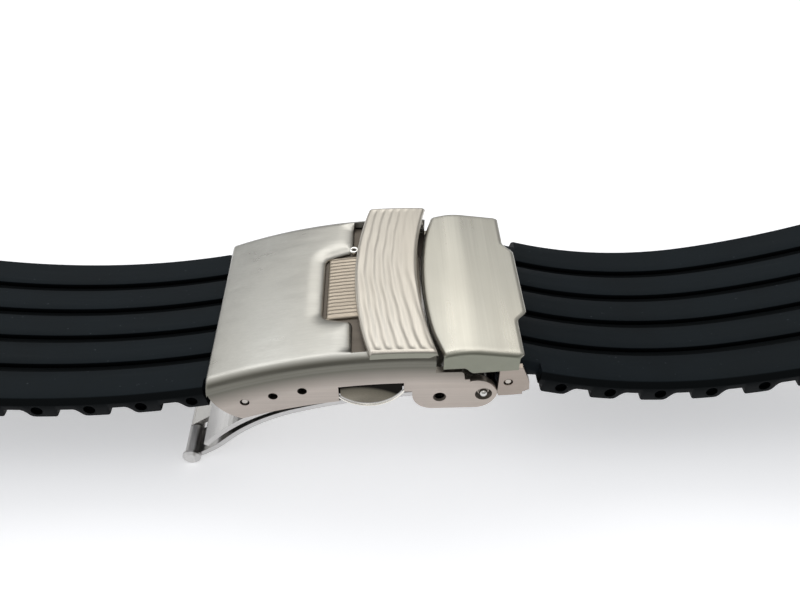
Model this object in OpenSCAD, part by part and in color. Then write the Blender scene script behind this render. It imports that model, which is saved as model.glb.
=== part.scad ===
// Rubber watch strap in two halves with a steel fold-over clasp.
// X runs along the strap, Y across it, Z up. The clasp is closed and the strap lies on its underside.

/* [Strap] */
// Width of each strap half
strap_w = 22; // [20:0.5:24]
// Width of the narrowed end that enters the clasp
tongue_w = 19.8; // [18:0.1:20]
// Length of the narrowed end, from the spring bar outwards
tongue_len = 3.8; // [3.2:0.1:4.6]
// The same on the right half, which only has to clear the side tabs of the end piece
tongue_len_b = 2.75; // [2.7:0.05:3.8]
// Thickness of the band above the line of the side holes
band_t = 1.35; // [1.2:0.05:1.8]
// Depth of the teeth below the line of the side holes
tooth_d = 1.05; // [0.9:0.05:1.3]
// Distance from one side hole to the next
tooth_pitch = 5.3; // [5:0.1:5.8]
// Number of teeth on each half
tooth_count = 12; // [6:1:12]
// Diameter of the side holes through the teeth
side_hole_d = 1.2; // [0.8:0.05:1.3]
// Distance between the grooves along the top
groove_pitch = 4.2; // [3.6:0.1:4.6]
// Width of a groove at the surface
groove_w = 0.9; // [0.6:0.05:1.2]
// Depth of a groove
groove_d = 0.5; // [0.3:0.05:0.6]
// Bevel along the two top edges of the strap
edge_bevel = 0.4; // [0.2:0.05:0.6]
// How far the clasp-end bar lies below the line of the side holes
bar_drop = 0.9; // [0.7:0.05:1.1]
// Radius of the bead round the clasp-end bar
bead_r = 1.3; // [1.2:0.02:1.34]
// Radius of the bead round the bar at the watch end
lug_bead_r = 2.2; // [1.8:0.05:2.6]
// Length over which the band thickens towards the watch end
lug_taper = 11; // [8:0.5:13]

/* [Lie of the strap] */
// Downward slope of the left half where it leaves the clasp
slope_a = 12.5; // [10:0.5:15]
// Radius of the left half's upward curve
dip_r_a = 85; // [75:1:100]
// Length of the straight stretch of the left half
straight_a = 12; // [9:0.5:15]
// Radius of the left half's arch
arch_r_a = 40; // [36:1:46]
// Downward slope of the right half where it leaves the clasp
slope_b = 20; // [18:0.5:22]
// Radius of the right half's first upward curve
dip_r_b = 48; // [44:1:54]
// Radius of the right half's second upward curve
rise_r_b = 90; // [80:1:110]
// Radius of the right half's arch
arch_r_b = 36; // [33:1:42]

/* [Cover] */
// Width over the cover's side walls
cover_w = 22.8; // [22.4:0.1:24]
// Thickness of the cover's sheet
sheet_t = 0.8; // [0.6:0.05:0.9]
// Radius of the cover's arch along the strap
arch_r = 57; // [50:1:70]
// Height of the arch's crest in the clasp's own frame
crest_z = 9.65; // [9.5:0.05:9.75]
// Height of the side walls below the arch
wall_h = 5.9; // [5.6:0.05:6.2]
// Radius of the rounded long edges
shoulder_r = 1.2; // [0.9:0.05:1.5]
// Width of the finger recess in the top
recess_w = 10.6; // [9:0.1:12]
// Length of the finger recess, from the cover's lip
recess_len = 3.1; // [2.5:0.1:3.6]
// Width of the bevel round the recess and along the lip
rim_w = 1; // [0.6:0.05:1.2]
// Depth of that bevel
rim_d = 0.35; // [0.2:0.05:0.5]
// Distance between the adjusting holes
adjust_pitch = 3.05; // [2.9:0.05:3.2]
// Diameter of the adjusting holes
adjust_hole_d = 0.96; // [0.9:0.01:1]
// Number of fine ribs on the grip in the recess
grip_ribs = 15; // [9:1:19]

/* [Safety band and flap] */
// How far each end of the safety band stands out past the cover's wall
band_over = 0.3; // [0.1:0.05:0.9]
// Thickness of the safety band
band_sheet = 0.9; // [0.7:0.05:1]
// Number of shallow waves on the band
band_waves = 5; // [3:1:6]
// How far the flap's side flanges stand back from the faces of the cover's walls
flap_inset = 0.1; // [0:0.05:0.3]
// Thickness of the flap's sheet
flap_sheet = 0.7; // [0.6:0.05:0.8]
// Width of the thumb tab on the flap
thumb_w = 10; // [8:0.5:12]
// How far the thumb tab stands out
thumb_len = 1.1; // [0.8:0.05:1.3]
// Radius of the small hinge pins of the band and the flap
stub_r = 0.28; // [0.22:0.01:0.3]

/* [Blades] */
// Width of the two folding blades
blade_w = 20.4; // [19.6:0.1:20.6]
// Thickness of a blade
blade_t = 0.6; // [0.5:0.02:0.65]
// Gap between the closed blades
blade_gap = 0.8; // [0.76:0.02:0.9]
// Radius of the strong bend of the blades, at the middle of the gap
bend_r = 20.1; // [19.5:0.1:20.8]
// Radius of the long flat stretch of the blades, at the middle of the gap
flat_r = 57.6; // [56:0.2:60]
// Radius of the hinge barrel
barrel_r = 0.8; // [0.76:0.01:0.84]
// Radius of the barrel pin
barrel_pin_r = 0.42; // [0.38:0.01:0.46]
// Radius of the fold rivet
rivet_r = 0.45; // [0.4:0.01:0.48]
// Radius of the countersunk ring round the rivet's ends
ring_r = 0.95; // [0.85:0.01:1]
// Radius of the pull wings on the middle blade
wing_r = 4.25; // [4:0.05:4.3]
// Thickness of the end piece's sheet
end_sheet = 0.6; // [0.5:0.02:0.65]

/* [Spring bars] */
// Radius of a spring bar's tube
tube_r = 0.9; // [0.85:0.01:0.92]
// Wall of a spring bar's tube
bar_wall = 0.16; // [0.12:0.01:0.18]
// Radius of a tip's neck in the closed-in end of the tube
neck_r = 0.58; // [0.56:0.01:0.6]
// Radius of a spring bar's tips
tip_r = 0.4; // [0.36:0.01:0.4]
// Travel of a tip into its tube
tip_travel = 0.9; // [0.6:0.05:1]
// How far a watch-end tip stands out of the strap
tip_out = 0.8; // [0.6:0.05:0.9]
// Number of turns of the spring in a bar
spring_turns = 9; // [6:1:12]

/* [Fits] */
// Radial clearance of a pin that turns in its hole
run_fit = 0.05; // [0.03:0.01:0.08]
// Gap between faces that slide past each other
face_gap = 0.12; // [0.08:0.01:0.2]

/* [Hidden] */
$fn = 96;
STEEL = [0.74, 0.73, 0.71];
BRIGHT = [0.82, 0.82, 0.82];
RUBBER = [0.07, 0.08, 0.09];

// The cover's arch: its centre lies below the clasp.
arch_cx = 2;
arch_cz = crest_z - arch_r;
wall_bottom_r = arch_r - wall_h;
inner_half = cover_w / 2 - sheet_t;
cover_left = -17.9;
cover_lip = -3.3;
wall_right = 5.4;
window_left = -4.73;
window_right = 1.82;
window_top_r = arch_r - 3.8;

// The blades: two rings about shared centres, one for the strong bend and one for the flat stretch.
bend_c = [-3.85, -18.44];
bend_turn = 17;
flat_c = bend_c + (flat_r - bend_r) * [sin(bend_turn), -cos(bend_turn)];
blade_off = blade_gap / 2;
rivet_slope = 2.7;
rivet_p = flat_c + (flat_r + blade_off + blade_t / 2) * [sin(rivet_slope), cos(rivet_slope)];

// The lower blade ends in a short upward ramp under the end piece.
ramp_r = 25;
ramp_turn = 10.7;
lower_mid_r = flat_r - blade_off - blade_t / 2;
ramp_start = flat_c + lower_mid_r * [sin(rivet_slope), cos(rivet_slope)];
ramp_c = ramp_start + ramp_r * [sin(rivet_slope), cos(rivet_slope)];

// The barrel: both blades curve back to it.
lower_turn = 45;
lower_back_r = 13;
lower_back_turn = 24;
lower_bend_end = bend_c + (bend_r - blade_off - blade_t / 2) * [-sin(lower_turn), cos(lower_turn)];
lower_back_c = lower_bend_end + lower_back_r * [-sin(lower_turn), cos(lower_turn)];
wrap = barrel_r - blade_t / 2;
barrel_p = lower_back_c + lower_back_r * [sin(lower_back_turn), -cos(lower_back_turn)]
         + wrap * [-sin(lower_back_turn), cos(lower_back_turn)];
middle_turn = 50;
middle_bend_end = bend_c + (bend_r + blade_off + blade_t / 2) * [-sin(middle_turn), cos(middle_turn)];
middle_leave = 20;
middle_root = barrel_p + wrap * [-sin(middle_leave), cos(middle_leave)];
knuckle_split = 6.5;
head_r = barrel_r + 0.2;
head_t = 0.55;
floor_z = barrel_p[1] - head_r;

// The spring bars in the clasp.
bar_a = [-14.24, 3.44];
bar_b = [rivet_p[0] + 2.52, rivet_p[1] + 0.91];
ear_hole = [rivet_p[0] - 4.44, rivet_p[1] - 0.31];

// Hinges of the safety band and of the flap.
band_pivot = [4.5, 8.65];
flap_pivot = [6.15, 8.42];

// Places along a path of tangent stretches. A stretch is [radius, degrees], with a positive
// radius curving up and a negative one down, or [0, length] where it is straight.
function seg_len(g) = g[0] == 0 ? g[1] : abs(g[0]) * g[1] * PI / 180;
function path_len(path, i = 0) = i == len(path) ? 0 : seg_len(path[i]) + path_len(path, i + 1);
function advance(p, g, t) =
  g[0] == 0 ? [p[0] + g[1] * t * cos(p[2]), p[1] + g[1] * t * sin(p[2]), p[2]] :
  let (s = sign(g[0]), r = abs(g[0]), h = p[2] + s * g[1] * t)
  [p[0] + s * r * (sin(h) - sin(p[2])), p[1] - s * r * (cos(h) - cos(p[2])), h];
function start_of(p, path, i) = i == 0 ? p : advance(start_of(p, path, i - 1), path[i - 1], 1);
function along(p, path, s, i = 0) =
  i == len(path) - 1 || s <= seg_len(path[i]) ? advance(p, path[i], s / seg_len(path[i])) :
  along(advance(p, path[i], 1), path, s - seg_len(path[i]), i + 1);
function spot(p, path, s, n) = let (q = along(p, path, s)) [q[0] - n * sin(q[2]), q[1] + n * cos(q[2])];

// A half starts above its bar, and its last straight stretch is as long as the floor asks.
function strap_start(bar, slope) =
  [bar[0] + bar_drop * sin(slope), bar[1] + bar_drop * cos(slope), -slope];
lug_in = lug_bead_r - band_t + 0.04;
function to_floor(p, path) =
  let (q = start_of(p, path, len(path)))
  concat(path, [[0, (floor_z + lug_bead_r + lug_in * cos(q[2]) - q[1]) / sin(q[2])]]);
function lug_axis(p, path) =
  let (q = start_of(p, path, len(path)))
  [q[0] + lug_in * sin(q[2]), q[1] - lug_in * cos(q[2])];

start_a = strap_start([-bar_a[0], bar_a[1]], slope_a);
path_a = to_floor(start_a, [[dip_r_a, 22], [0, straight_a], [-arch_r_a, 47.5]]);
lug_a = lug_axis(start_a, path_a);
start_b = strap_start(bar_b, slope_b);
path_b = to_floor(start_b, [[dip_r_b, 29], [rise_r_b, 8.7], [-arch_r_b, 57.7]]);
lug_b = lug_axis(start_b, path_b);

// The whole part stands on z = 0, with its length centred on x = 0.
frame_x = (lug_a[0] - lug_b[0]) / 2;
frame_z = -floor_z;

module place() { translate([frame_x, 0, frame_z]) children(); }

// A flat shape in X and Z, drawn out across the strap.
module across(y0, y1) { translate([0, y1, 0]) rotate([90, 0, 0]) linear_extrude(y1 - y0) children(); }
module both_sides(y0, y1) {
  across(y0, y1) children();
  across(-y1, -y0) children();
}

// A ring about an axis across the strap, between two angles counted from +X towards +Z.
module turned(c, a0, a1) {
  translate([c[0], 0, c[1]]) rotate([90, 0, 0]) rotate([0, 0, a0])
    rotate_extrude(angle = a1 - a0, $fn = 360) children();
}
function arc(c, r, a0, a1) =
  let (n = ceil(abs(a1 - a0) / 2))
  [for (i = [0 : n]) let (a = a0 + (a1 - a0) * i / n) c + r * [cos(a), sin(a)]];
function arch_angle(x, r = arch_r) = acos((x - arch_cx) / r);
function arch_top(x, r = arch_r) = arch_cz + sqrt(r * r - (x - arch_cx) * (x - arch_cx));
module arch_ring(r0, r1, x0, x1, w) {
  turned([arch_cx, arch_cz], arch_angle(x1), arch_angle(x0)) translate([r0, -w / 2]) square([r1 - r0, w]);
}
module rod(p, r, y0, y1) { translate([p[0], y1, p[1]]) rotate([90, 0, 0]) cylinder(r = r, h = y1 - y0); }
function flipped(list) = [for (i = [len(list) - 1 : -1 : 0]) list[i]];
module rods(p, r, y0, y1) {
  rod(p, r, y0, y1);
  rod(p, r, -y1, -y0);
}

// Cover
shoulder_steps = 6;
function shoulder(r, half, side) = [
  for (i = [0 : shoulder_steps])
    let (a = side > 0 ? 90 - 90 * i / shoulder_steps : 90 * i / shoulder_steps)
    [arch_r - shoulder_r + r * sin(a), side * (half - shoulder_r + r * cos(a))]
];
cover_section = concat(
  [[wall_bottom_r, -cover_w / 2]],
  shoulder(shoulder_r, cover_w / 2, -1),
  shoulder(shoulder_r, cover_w / 2, 1),
  [[wall_bottom_r, cover_w / 2], [wall_bottom_r, inner_half]],
  [[arch_r - sheet_t, inner_half], [arch_r - sheet_t, -inner_half], [wall_bottom_r, -inner_half]]
);

ear_r = 2.05;
lobe_r = 1.35;
ear_left = rivet_p[0] - 7.2;
module ear_outline() {
  bottom = rivet_p[1] - ear_r;
  near_c = ear_left + ear_r;
  far_c = rivet_p[0] - 0.8;
  translate([near_c, rivet_p[1]]) circle(ear_r);
  translate([far_c, rivet_p[1]]) circle(ear_r);
  translate([near_c, bottom]) square([far_c - near_c, 2 * ear_r - 0.1]);
  translate([ear_left, rivet_p[1]]) square([rivet_p[0] - 1.5 - ear_left, 2.25]);
  translate(rivet_p) circle(lobe_r);
}
bracket_r = 0.48;
module hinge_bracket() {
  both_sides(inner_half - sheet_t, inner_half) {
    translate(flap_pivot) circle(bracket_r);
    translate([flap_pivot[0] - bracket_r, rivet_p[1] + 1.2])
      square([2 * bracket_r, flap_pivot[1] - rivet_p[1] - 1.2]);
  }
}
// The bevels run on past the edge that they break, so that they cut it cleanly.
module rim_bevels() {
  over = 0.3;
  slope = rim_d / rim_w;
  left = cover_lip - recess_len;
  across(-recess_w / 2 - 0.02, recess_w / 2 + 0.02) polygon([
    [left - rim_w, arch_top(left - rim_w)], [left + over, arch_top(left) - rim_d - over * slope],
    [left + over, arch_top(left) + 2], [left - rim_w, arch_top(left) + 2]
  ]);
  across(-inner_half + 0.03, inner_half - 0.03) polygon([
    [cover_lip - rim_w - 0.05, arch_top(cover_lip - rim_w)],
    [cover_lip + over, arch_top(cover_lip) - rim_d - over * slope],
    [cover_lip + over, arch_top(cover_lip) + 2], [cover_lip - rim_w - 0.05, arch_top(cover_lip) + 2]
  ]);
  for (side = [-1, 1])
    turned([arch_cx, arch_cz], arch_angle(cover_lip + 0.2), arch_angle(left + 0.04))
      polygon([
        [arch_r - rim_d - over * slope, side * (recess_w / 2 - over)], [arch_r, side * (recess_w / 2 + rim_w)],
        [arch_r + 1, side * (recess_w / 2 + rim_w)], [arch_r + 1, side * (recess_w / 2 - over)]
      ]);
}
module cover_shell() {
  color(STEEL) place() difference() {
    union() {
      turned([arch_cx, arch_cz], arch_angle(wall_right), arch_angle(cover_left)) polygon(cover_section);
      both_sides(inner_half, cover_w / 2) ear_outline();
      hinge_bracket();
    }
    // The top ends at the lip, with the finger recess cut further into it.
    translate([cover_lip, -inner_half, crest_z - 3]) cube([20, 2 * inner_half, 8]);
    translate([cover_lip - recess_len, -recess_w / 2, crest_z - 3]) cube([20, recess_w, 8]);
    rim_bevels();
    // Windows for the pull wings, open at the bottom.
    across(-cover_w, cover_w) intersection() {
      translate([window_left, crest_z - wall_h - 9]) square([window_right - window_left, 13]);
      translate([arch_cx, arch_cz]) circle(window_top_r, $fn = 360);
    }
    arch_ring(wall_bottom_r - 8, wall_bottom_r + 0.8, window_right - 1, ear_left, 2 * cover_w);
    // Room at the walls' upper ends for the corners of the band and of the flap.
    both_sides(inner_half - 0.5, cover_w) {
      translate([band_pivot[0] - 0.25, band_pivot[1] + stub_r + 0.2]) square([3, 3]);
      translate(flap_pivot) intersection() {
        circle(flap_corner_r);
        rotate(flap_open) translate([-0.68, -3]) square(6);
      }
    }
    // Rounded lower corner at the strap end.
    across(-cover_w, cover_w) difference() {
      translate([cover_left - 2, crest_z - 12]) square([5.6, 7.1]);
      translate([cover_left + 5.2, crest_z - 4]) circle(5.2);
    }
    for (i = [0 : 2]) rod(adjust_hole(i), adjust_hole_d / 2, -cover_w, cover_w);
    rod(ear_hole, 0.5, -cover_w, cover_w);
    rod(rivet_p, rivet_r, -cover_w, cover_w);
    for (side = [-1, 1]) {
      translate([rivet_p[0], side * (cover_w / 2 + 0.01), rivet_p[1]]) rotate([side * 90, 0, 0])
        cylinder(r1 = ring_r, r2 = rivet_r, h = 0.4);
      translate([ear_hole[0], side * (cover_w / 2 + 0.01), ear_hole[1]]) rotate([side * 90, 0, 0])
        cylinder(r1 = 0.72, r2 = 0.5, h = 0.25);
    }
    rods(band_pivot, stub_r + run_fit, inner_half - 1, cover_w / 2 - 0.25);
    rods(flap_pivot, stub_r, inner_half - sheet_t - 1, inner_half + 0.01);
  }
}
// The adjusting holes follow the arch, counted from the strap end.
function adjust_hole(i) =
  let (r = norm(bar_a - [arch_cx, arch_cz]), a = atan2(bar_a[1] - arch_cz, bar_a[0] - arch_cx)
       - i * adjust_pitch / r * 180 / PI)
  [arch_cx + r * cos(a), arch_cz + r * sin(a)];

// Bridge plate under the band, with the ribbed grip in the finger recess
bridge_t = 0.6;
bridge_top_r = arch_r - sheet_t - 0.03;
grip_w = recess_w - 0.8;
grip_left = cover_lip - recess_len + 0.35;
grip_right = cover_lip + 0.9;
grip_top_r = bridge_top_r + 0.4;
bridge_right = 3.9;
rib_depth = 0.14;
module bridge_plate() {
  rib_pitch = grip_w / grip_ribs;
  color(STEEL) place() difference() {
    union() {
      arch_ring(bridge_top_r - bridge_t, bridge_top_r, cover_lip - 1, bridge_right, 2 * inner_half);
      arch_ring(bridge_top_r - bridge_t, grip_top_r, grip_left, grip_right, grip_w);
    }
    for (i = [1 : grip_ribs - 1])
      translate([0, -grip_w / 2 + i * rib_pitch, 0])
        turned([arch_cx, arch_cz], arch_angle(grip_right + 0.1), arch_angle(grip_left - 0.1))
          translate([grip_top_r - rib_depth, -rib_pitch * 0.22]) square([1, rib_pitch * 0.44]);
    // Room for the lugs of the safety band.
    for (side = [-1, 1])
      translate([band_pivot[0] - 1.15, side > 0 ? band_lug_in - face_gap : -inner_half - 0.01, 5])
        cube([4, inner_half - band_lug_in + face_gap + 0.01, 6]);
  }
}
module detent_stud() {
  p = [cover_lip + 0.55, recess_w / 2 + 0.3];
  color(BRIGHT) place() translate([p[0], p[1], arch_top(p[0] + 0.45, bridge_top_r)]) difference() {
    union() {
      cylinder(r = 0.42, h = 0.3);
      translate([0, 0, 0.3]) scale(0.42) difference() {
        sphere(1);
        translate([-2, -2, -4]) cube(4);
      }
    }
    translate([0, 0, -0.5]) cylinder(r = 1, h = 0.5);
  }
}
module fold_rivet() {
  half = cover_w / 2;
  color(BRIGHT) place() {
    rod(rivet_p, rivet_r, -half + 0.25, half - 0.25);
    for (side = [-1, 1])
      translate([rivet_p[0], side * (half - 0.25), rivet_p[1]]) intersection() {
        sphere(rivet_r);
        translate([-1, side > 0 ? 0 : -1, -1]) cube([2, 1, 2]);
      }
  }
}

// Safety band: a waved plate that lifts by its bulged edge
band_w = cover_w + 2 * band_over;
band_bottom_r = arch_r + 0.1;
band_top_r = band_bottom_r + band_sheet;
band_left = -3.05;
band_right = 3.55;
band_left_r = 44.4;
band_right_r = 46.4;
band_lug_out = inner_half - face_gap;
band_lug_in = band_lug_out - 0.8;
band_lug_r = 0.55;
module upright(x, r) { translate([x + r, 0, 0]) cylinder(r = r, h = 40, $fn = 360); }
module safety_band() {
  end = band_w / 2;
  wave_pitch = (band_right - band_left) / (band_waves + 1);
  color(STEEL) place() difference() {
    union() {
      difference() {
        intersection() {
          turned([arch_cx, arch_cz], 80, 100) polygon([
            [band_bottom_r, -end], [band_top_r - 0.5, -end], [band_top_r - 0.15, -end + 0.35],
            [band_top_r, -end + 1], [band_top_r, end - 1], [band_top_r - 0.15, end - 0.35],
            [band_top_r - 0.5, end], [band_bottom_r, end]
          ]);
          upright(band_left, band_left_r);
        }
        upright(band_right, band_right_r);
      }
      both_sides(band_lug_in, band_lug_out) {
        translate(band_pivot) circle(band_lug_r);
        translate([band_pivot[0] - band_lug_r, band_pivot[1]])
          square([band_lug_r + 0.1, arch_top(band_pivot[0], band_bottom_r + 0.3) - band_pivot[1]]);
      }
    }
    for (i = [1 : band_waves]) wave(band_left + i * wave_pitch, wave_pitch * 0.42);
    rods(band_pivot, stub_r, band_lug_in - 0.5, band_lug_out + 0.5);
  }
}
module wave(x, w) {
  difference() {
    upright(x - w / 2, band_left_r);
    upright(x + w / 2, band_left_r);
    translate([arch_cx, 50, arch_cz]) rotate([90, 0, 0]) cylinder(r = band_top_r - 0.12, h = 100, $fn = 360);
  }
}
module band_hinge_pins() {
  color(BRIGHT) place() rods(band_pivot, stub_r, band_lug_in, cover_w / 2 - 0.25 - face_gap);
}

// Lock flap: crest near the band, thumb tab at the strap end
flap_w = cover_w - 2 * flap_inset;
flap_crest = [8.05, 7.55];
flap_crest_r = 2.5;
flap_rise = 13;
flap_fall = 8;
flap_left_x = 4.5;
flap_left_r = 57;
flap_right_x = 13.65;
flange_in = inner_half + 0.1;
flap_corner_r = 1.33;
thumb_flare = 2;
flange_foot = [[0, 3.5], [-1.1, 3.1], [-2.1, 3.75]];
flap_open = 40;
function flap_line(t) =
  let (r = flap_crest_r - t)
  concat(
    [let (k = (flap_crest[0] - r * sin(flap_rise) - flap_left_x + 0.5) / cos(flap_rise))
     [flap_crest[0] - r * sin(flap_rise) - k * cos(flap_rise),
      flap_crest[1] + r * cos(flap_rise) - k * sin(flap_rise)]],
    [for (i = [0 : 6]) let (a = -flap_rise + i * (flap_rise + flap_fall) / 6)
     [flap_crest[0] + r * sin(a), flap_crest[1] + r * cos(a)]],
    [let (k = (flap_right_x + 2 - flap_crest[0]) / cos(flap_fall))
     [flap_crest[0] + r * sin(flap_fall) + k * cos(flap_fall),
      flap_crest[1] + r * cos(flap_fall) - k * sin(flap_fall)]]
  );
module flap_plan() {
  half = flap_w / 2;
  intersection() {
    translate([flap_left_x + flap_left_r, 0]) circle(flap_left_r, $fn = 180);
    polygon([
      [0, -half], [flap_right_x, -half], [flap_right_x, -thumb_w / 2 - thumb_flare],
      [flap_right_x + thumb_len, -thumb_w / 2], [flap_right_x + thumb_len, thumb_w / 2],
      [flap_right_x, thumb_w / 2 + thumb_flare], [flap_right_x, half], [0, half]
    ]);
  }
}
module lock_flap() {
  half = flap_w / 2;
  color(STEEL) place() difference() {
    intersection() {
      union() {
        across(-half, half) polygon(concat(flap_line(0), flipped(flap_line(flap_sheet))));
        both_sides(flange_in, half) polygon(concat(
          flap_line(flap_sheet / 2),
          [[flap_right_x + 2, rivet_p[1] + flange_foot[0][1]], [flap_right_x, rivet_p[1] + flange_foot[0][1]],
           rivet_p + flange_foot[1], rivet_p + flange_foot[2],
           [flap_left_x, rivet_p[1] + flange_foot[2][1]]]
        ));
      }
      linear_extrude(60) flap_plan();
    }
    for (side = [-1, 1])
      translate([0, side * half, flap_crest[1] + flap_crest_r]) rotate([side * -45, 0, 0])
        translate([0, -2, 0.12]) cube([30, 4, 3]);
    // Notches for the lugs of the safety band.
    for (side = [-1, 1])
      translate([flap_pivot[0] - 3.15, side > 0 ? band_lug_in - face_gap : -inner_half - 0.04, 6])
        cube([3, inner_half + 0.04 - band_lug_in + face_gap, 6]);
    rods(flap_pivot, stub_r + run_fit, flange_in - 0.5, half - 0.2);
  }
}
module flap_hinge_pins() {
  color(BRIGHT) place() rods(flap_pivot, stub_r, inner_half - sheet_t, flap_w / 2 - 0.2 - face_gap);
}

// Folding blades
// The two blades are drawn as side outlines, from the barrel to the fold rivet and beyond.
function middle_line(off) = concat(
  arc(bend_c, bend_r + off, 90 + middle_turn, 90 + bend_turn + 2),
  arc(flat_c, flat_r + off, 90 + bend_turn, 90 - rivet_slope)
);
function lower_line(off) = concat(
  arc(lower_back_c, lower_back_r - blade_off - blade_t / 2 - off, lower_back_turn - 90, lower_turn - 92),
  arc(bend_c, bend_r + off, 90 + lower_turn, 90 + bend_turn + 2),
  arc(flat_c, flat_r + off, 90 + bend_turn, 92 - rivet_slope),
  arc(ramp_c, ramp_r - blade_off - blade_t / 2 - off, 270 - rivet_slope, 270 - rivet_slope + ramp_turn)
);
module middle_blade() {
  w = blade_w;
  wing_c = [-1.72, rivet_p[1] + 2.52];
  wing_out = cover_w / 2 - 0.2;
  color(BRIGHT) place() difference() {
    union() {
      difference() {
        across(-w / 2, w / 2) polygon(concat(middle_line(blade_off + blade_t), flipped(middle_line(blade_off))));
        // The outer corners make room for the lower blade's knuckles.
        for (side = [-1, 1])
          rod(barrel_p, barrel_r + 0.5, side > 0 ? knuckle_split - face_gap : -w,
              side > 0 ? w : -knuckle_split + face_gap);
      }
      link(middle_bend_end, middle_root, blade_t, knuckle_split - face_gap);
      rod(barrel_p, barrel_r, -knuckle_split + face_gap, knuckle_split - face_gap);
      rod(rivet_p, rivet_r + 0.5, -w / 2, w / 2);
      // Pull wings that fill the windows of the cover.
      both_sides(w / 2 - 0.2, wing_out) intersection() {
        translate(wing_c) circle(wing_r);
        translate([window_left + 0.15, -5]) square([window_right - window_left - 0.3, rivet_p[1] + 6.35]);
      }
    }
    rod(barrel_p, barrel_pin_r + run_fit, -w, w);
    rod(rivet_p, rivet_r + run_fit, -w, w);
    for (side = [-1, 1])
      translate([wing_c[0], side * (wing_out + 7.5), wing_c[1] + 0.2]) sphere(8.5, $fn = 180);
  }
}
module link(p, q, t, half) {
  d = q - p;
  translate([p[0], 0, p[1]]) rotate([0, -atan2(d[1], d[0]), 0])
    translate([-0.25, -half, -t / 2]) cube([norm(d) + 0.25, 2 * half, t]);
}
module lower_blade() {
  w = blade_w - 0.6;
  color(BRIGHT) place() difference() {
    union() {
      difference() {
        across(-w / 2, w / 2)
          polygon(concat(lower_line(-blade_off), flipped(lower_line(-blade_off - blade_t))));
        rod(barrel_p, barrel_r + 3 * face_gap, -knuckle_split, knuckle_split);
      }
      rods(barrel_p, barrel_r, knuckle_split, w / 2 + 0.2);
    }
    rod(barrel_p, barrel_pin_r, -w, w);
    // A long slot lightens the blade.
    translate([0, 0, -20]) linear_extrude(40) {
      for (x = [-9, 3]) translate([x, 0]) circle(2.2);
      translate([-9, -2.2]) square([12, 4.4]);
    }
    for (y = [-6, 6]) end_rivet_hole(y);
  }
}
module barrel_pin() {
  head_in = blade_w / 2 - 0.3 + 0.2;
  color(BRIGHT) place() {
    rod(barrel_p, barrel_pin_r, -head_in, head_in);
    for (side = [-1, 1])
      translate([barrel_p[0], side * head_in, barrel_p[1]]) rotate([side * -90, 0, 0]) {
        cylinder(r = head_r, h = head_t - 0.25);
        translate([0, 0, head_t - 0.25]) cylinder(r1 = head_r, r2 = head_r - 0.3, h = 0.25);
      }
  }
}

// End piece: a channel that holds the right half's bar
end_in = tongue_w / 2 + 0.2;
end_out = end_in + end_sheet;
rivet_at = 270 - rivet_slope + 7.4;
module end_rivet_hole(y) {
  translate([ramp_c[0], y, ramp_c[1]]) rotate([0, -rivet_at, 0]) translate([ramp_r - 2, 0, 0]) rotate([0, 90, 0])
    cylinder(r = 0.4, h = 4);
}
module end_piece() {
  floor_a = 270 - rivet_slope + 3.9;
  color(STEEL) place() difference() {
    union() {
      across(-end_out, end_out) polygon(concat(
        arc(ramp_c, ramp_r - blade_t / 2 - end_sheet, floor_a, 269 - rivet_slope + ramp_turn),
        flipped(arc(ramp_c, ramp_r - blade_t / 2 - 0.01, floor_a, 269 - rivet_slope + ramp_turn))
      ));
      both_sides(end_in, end_out) polygon([
        [bar_b[0] - 1.0, bar_b[1] - 1.7], [bar_b[0] + 0.9, bar_b[1] - 1.75], [bar_b[0] + 2.25, bar_b[1] - 1.15],
        [bar_b[0] + 2.12, bar_b[1] + 0.1], [bar_b[0] + 1.3, bar_b[1] + 2.1], [bar_b[0] - 0.7, bar_b[1] + 2.1],
        [bar_b[0] - 1.0, bar_b[1] + 1.8]
      ]);
    }
    rod(bar_b, adjust_hole_d / 2, -cover_w, cover_w);
    for (y = [-6, 6]) end_rivet_hole(y);
  }
}
module end_rivets() {
  color(BRIGHT) place() for (y = [-6, 6])
    translate([ramp_c[0], y, ramp_c[1]]) rotate([0, -rivet_at, 0])
      translate([ramp_r - blade_t / 2 - end_sheet, 0, 0]) rotate([0, 90, 0]) {
        cylinder(r = 0.4, h = blade_t + end_sheet);
        translate([0, 0, blade_t + end_sheet]) cylinder(r1 = 0.8, r2 = 0.55, h = 0.2);
      }
}

// Strap halves
module at_pose(p) { translate([p[0], 0, p[1]]) rotate([0, -p[2], 0]) children(); }
top_step = 1.6;
function top_line(start, path, n) =
  let (total = path_len(path), steps = ceil(total / top_step))
  [for (i = [0 : steps]) spot(start, path, total * i / steps, n)];
// The underside: the teeth, and then the thicker watch end.
function tooth_at(s) = [[s - 2.2, 0], [s - 1.83, -tooth_d], [s + 0.53, -tooth_d], [s + 1.63, 0]];
function swell(u) = u <= 0 ? 0 : u * u * (3 - 2 * u);
function underside(total) = concat(
  [[0, 0]],
  [for (k = [1 : tooth_count]) each tooth_at(k * tooth_pitch)],
  let (first = tooth_count * tooth_pitch + 3, n = ceil((total - first) / 1.3))
  [for (i = [0 : n]) let (s = first + (total - first) * i / n)
   [s, -swell((s - total + lug_taper) / lug_taper) * (lug_in + lug_bead_r - 0.04)]]
);
base_t = band_t - groove_d;
groove_at = [-1.5, -0.5, 0.5, 1.5];
ledges = concat(
  [-strap_w / 2 + edge_bevel],
  [for (g = groove_at) each [g * groove_pitch - groove_w / 2, g * groove_pitch + groove_w / 2]],
  [strap_w / 2 - edge_bevel]
);
module ridge(start, path, y0, y1, n) {
  across(y0, y1) polygon(concat(top_line(start, path, n), flipped(top_line(start, path, base_t - 0.15))));
}
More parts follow.
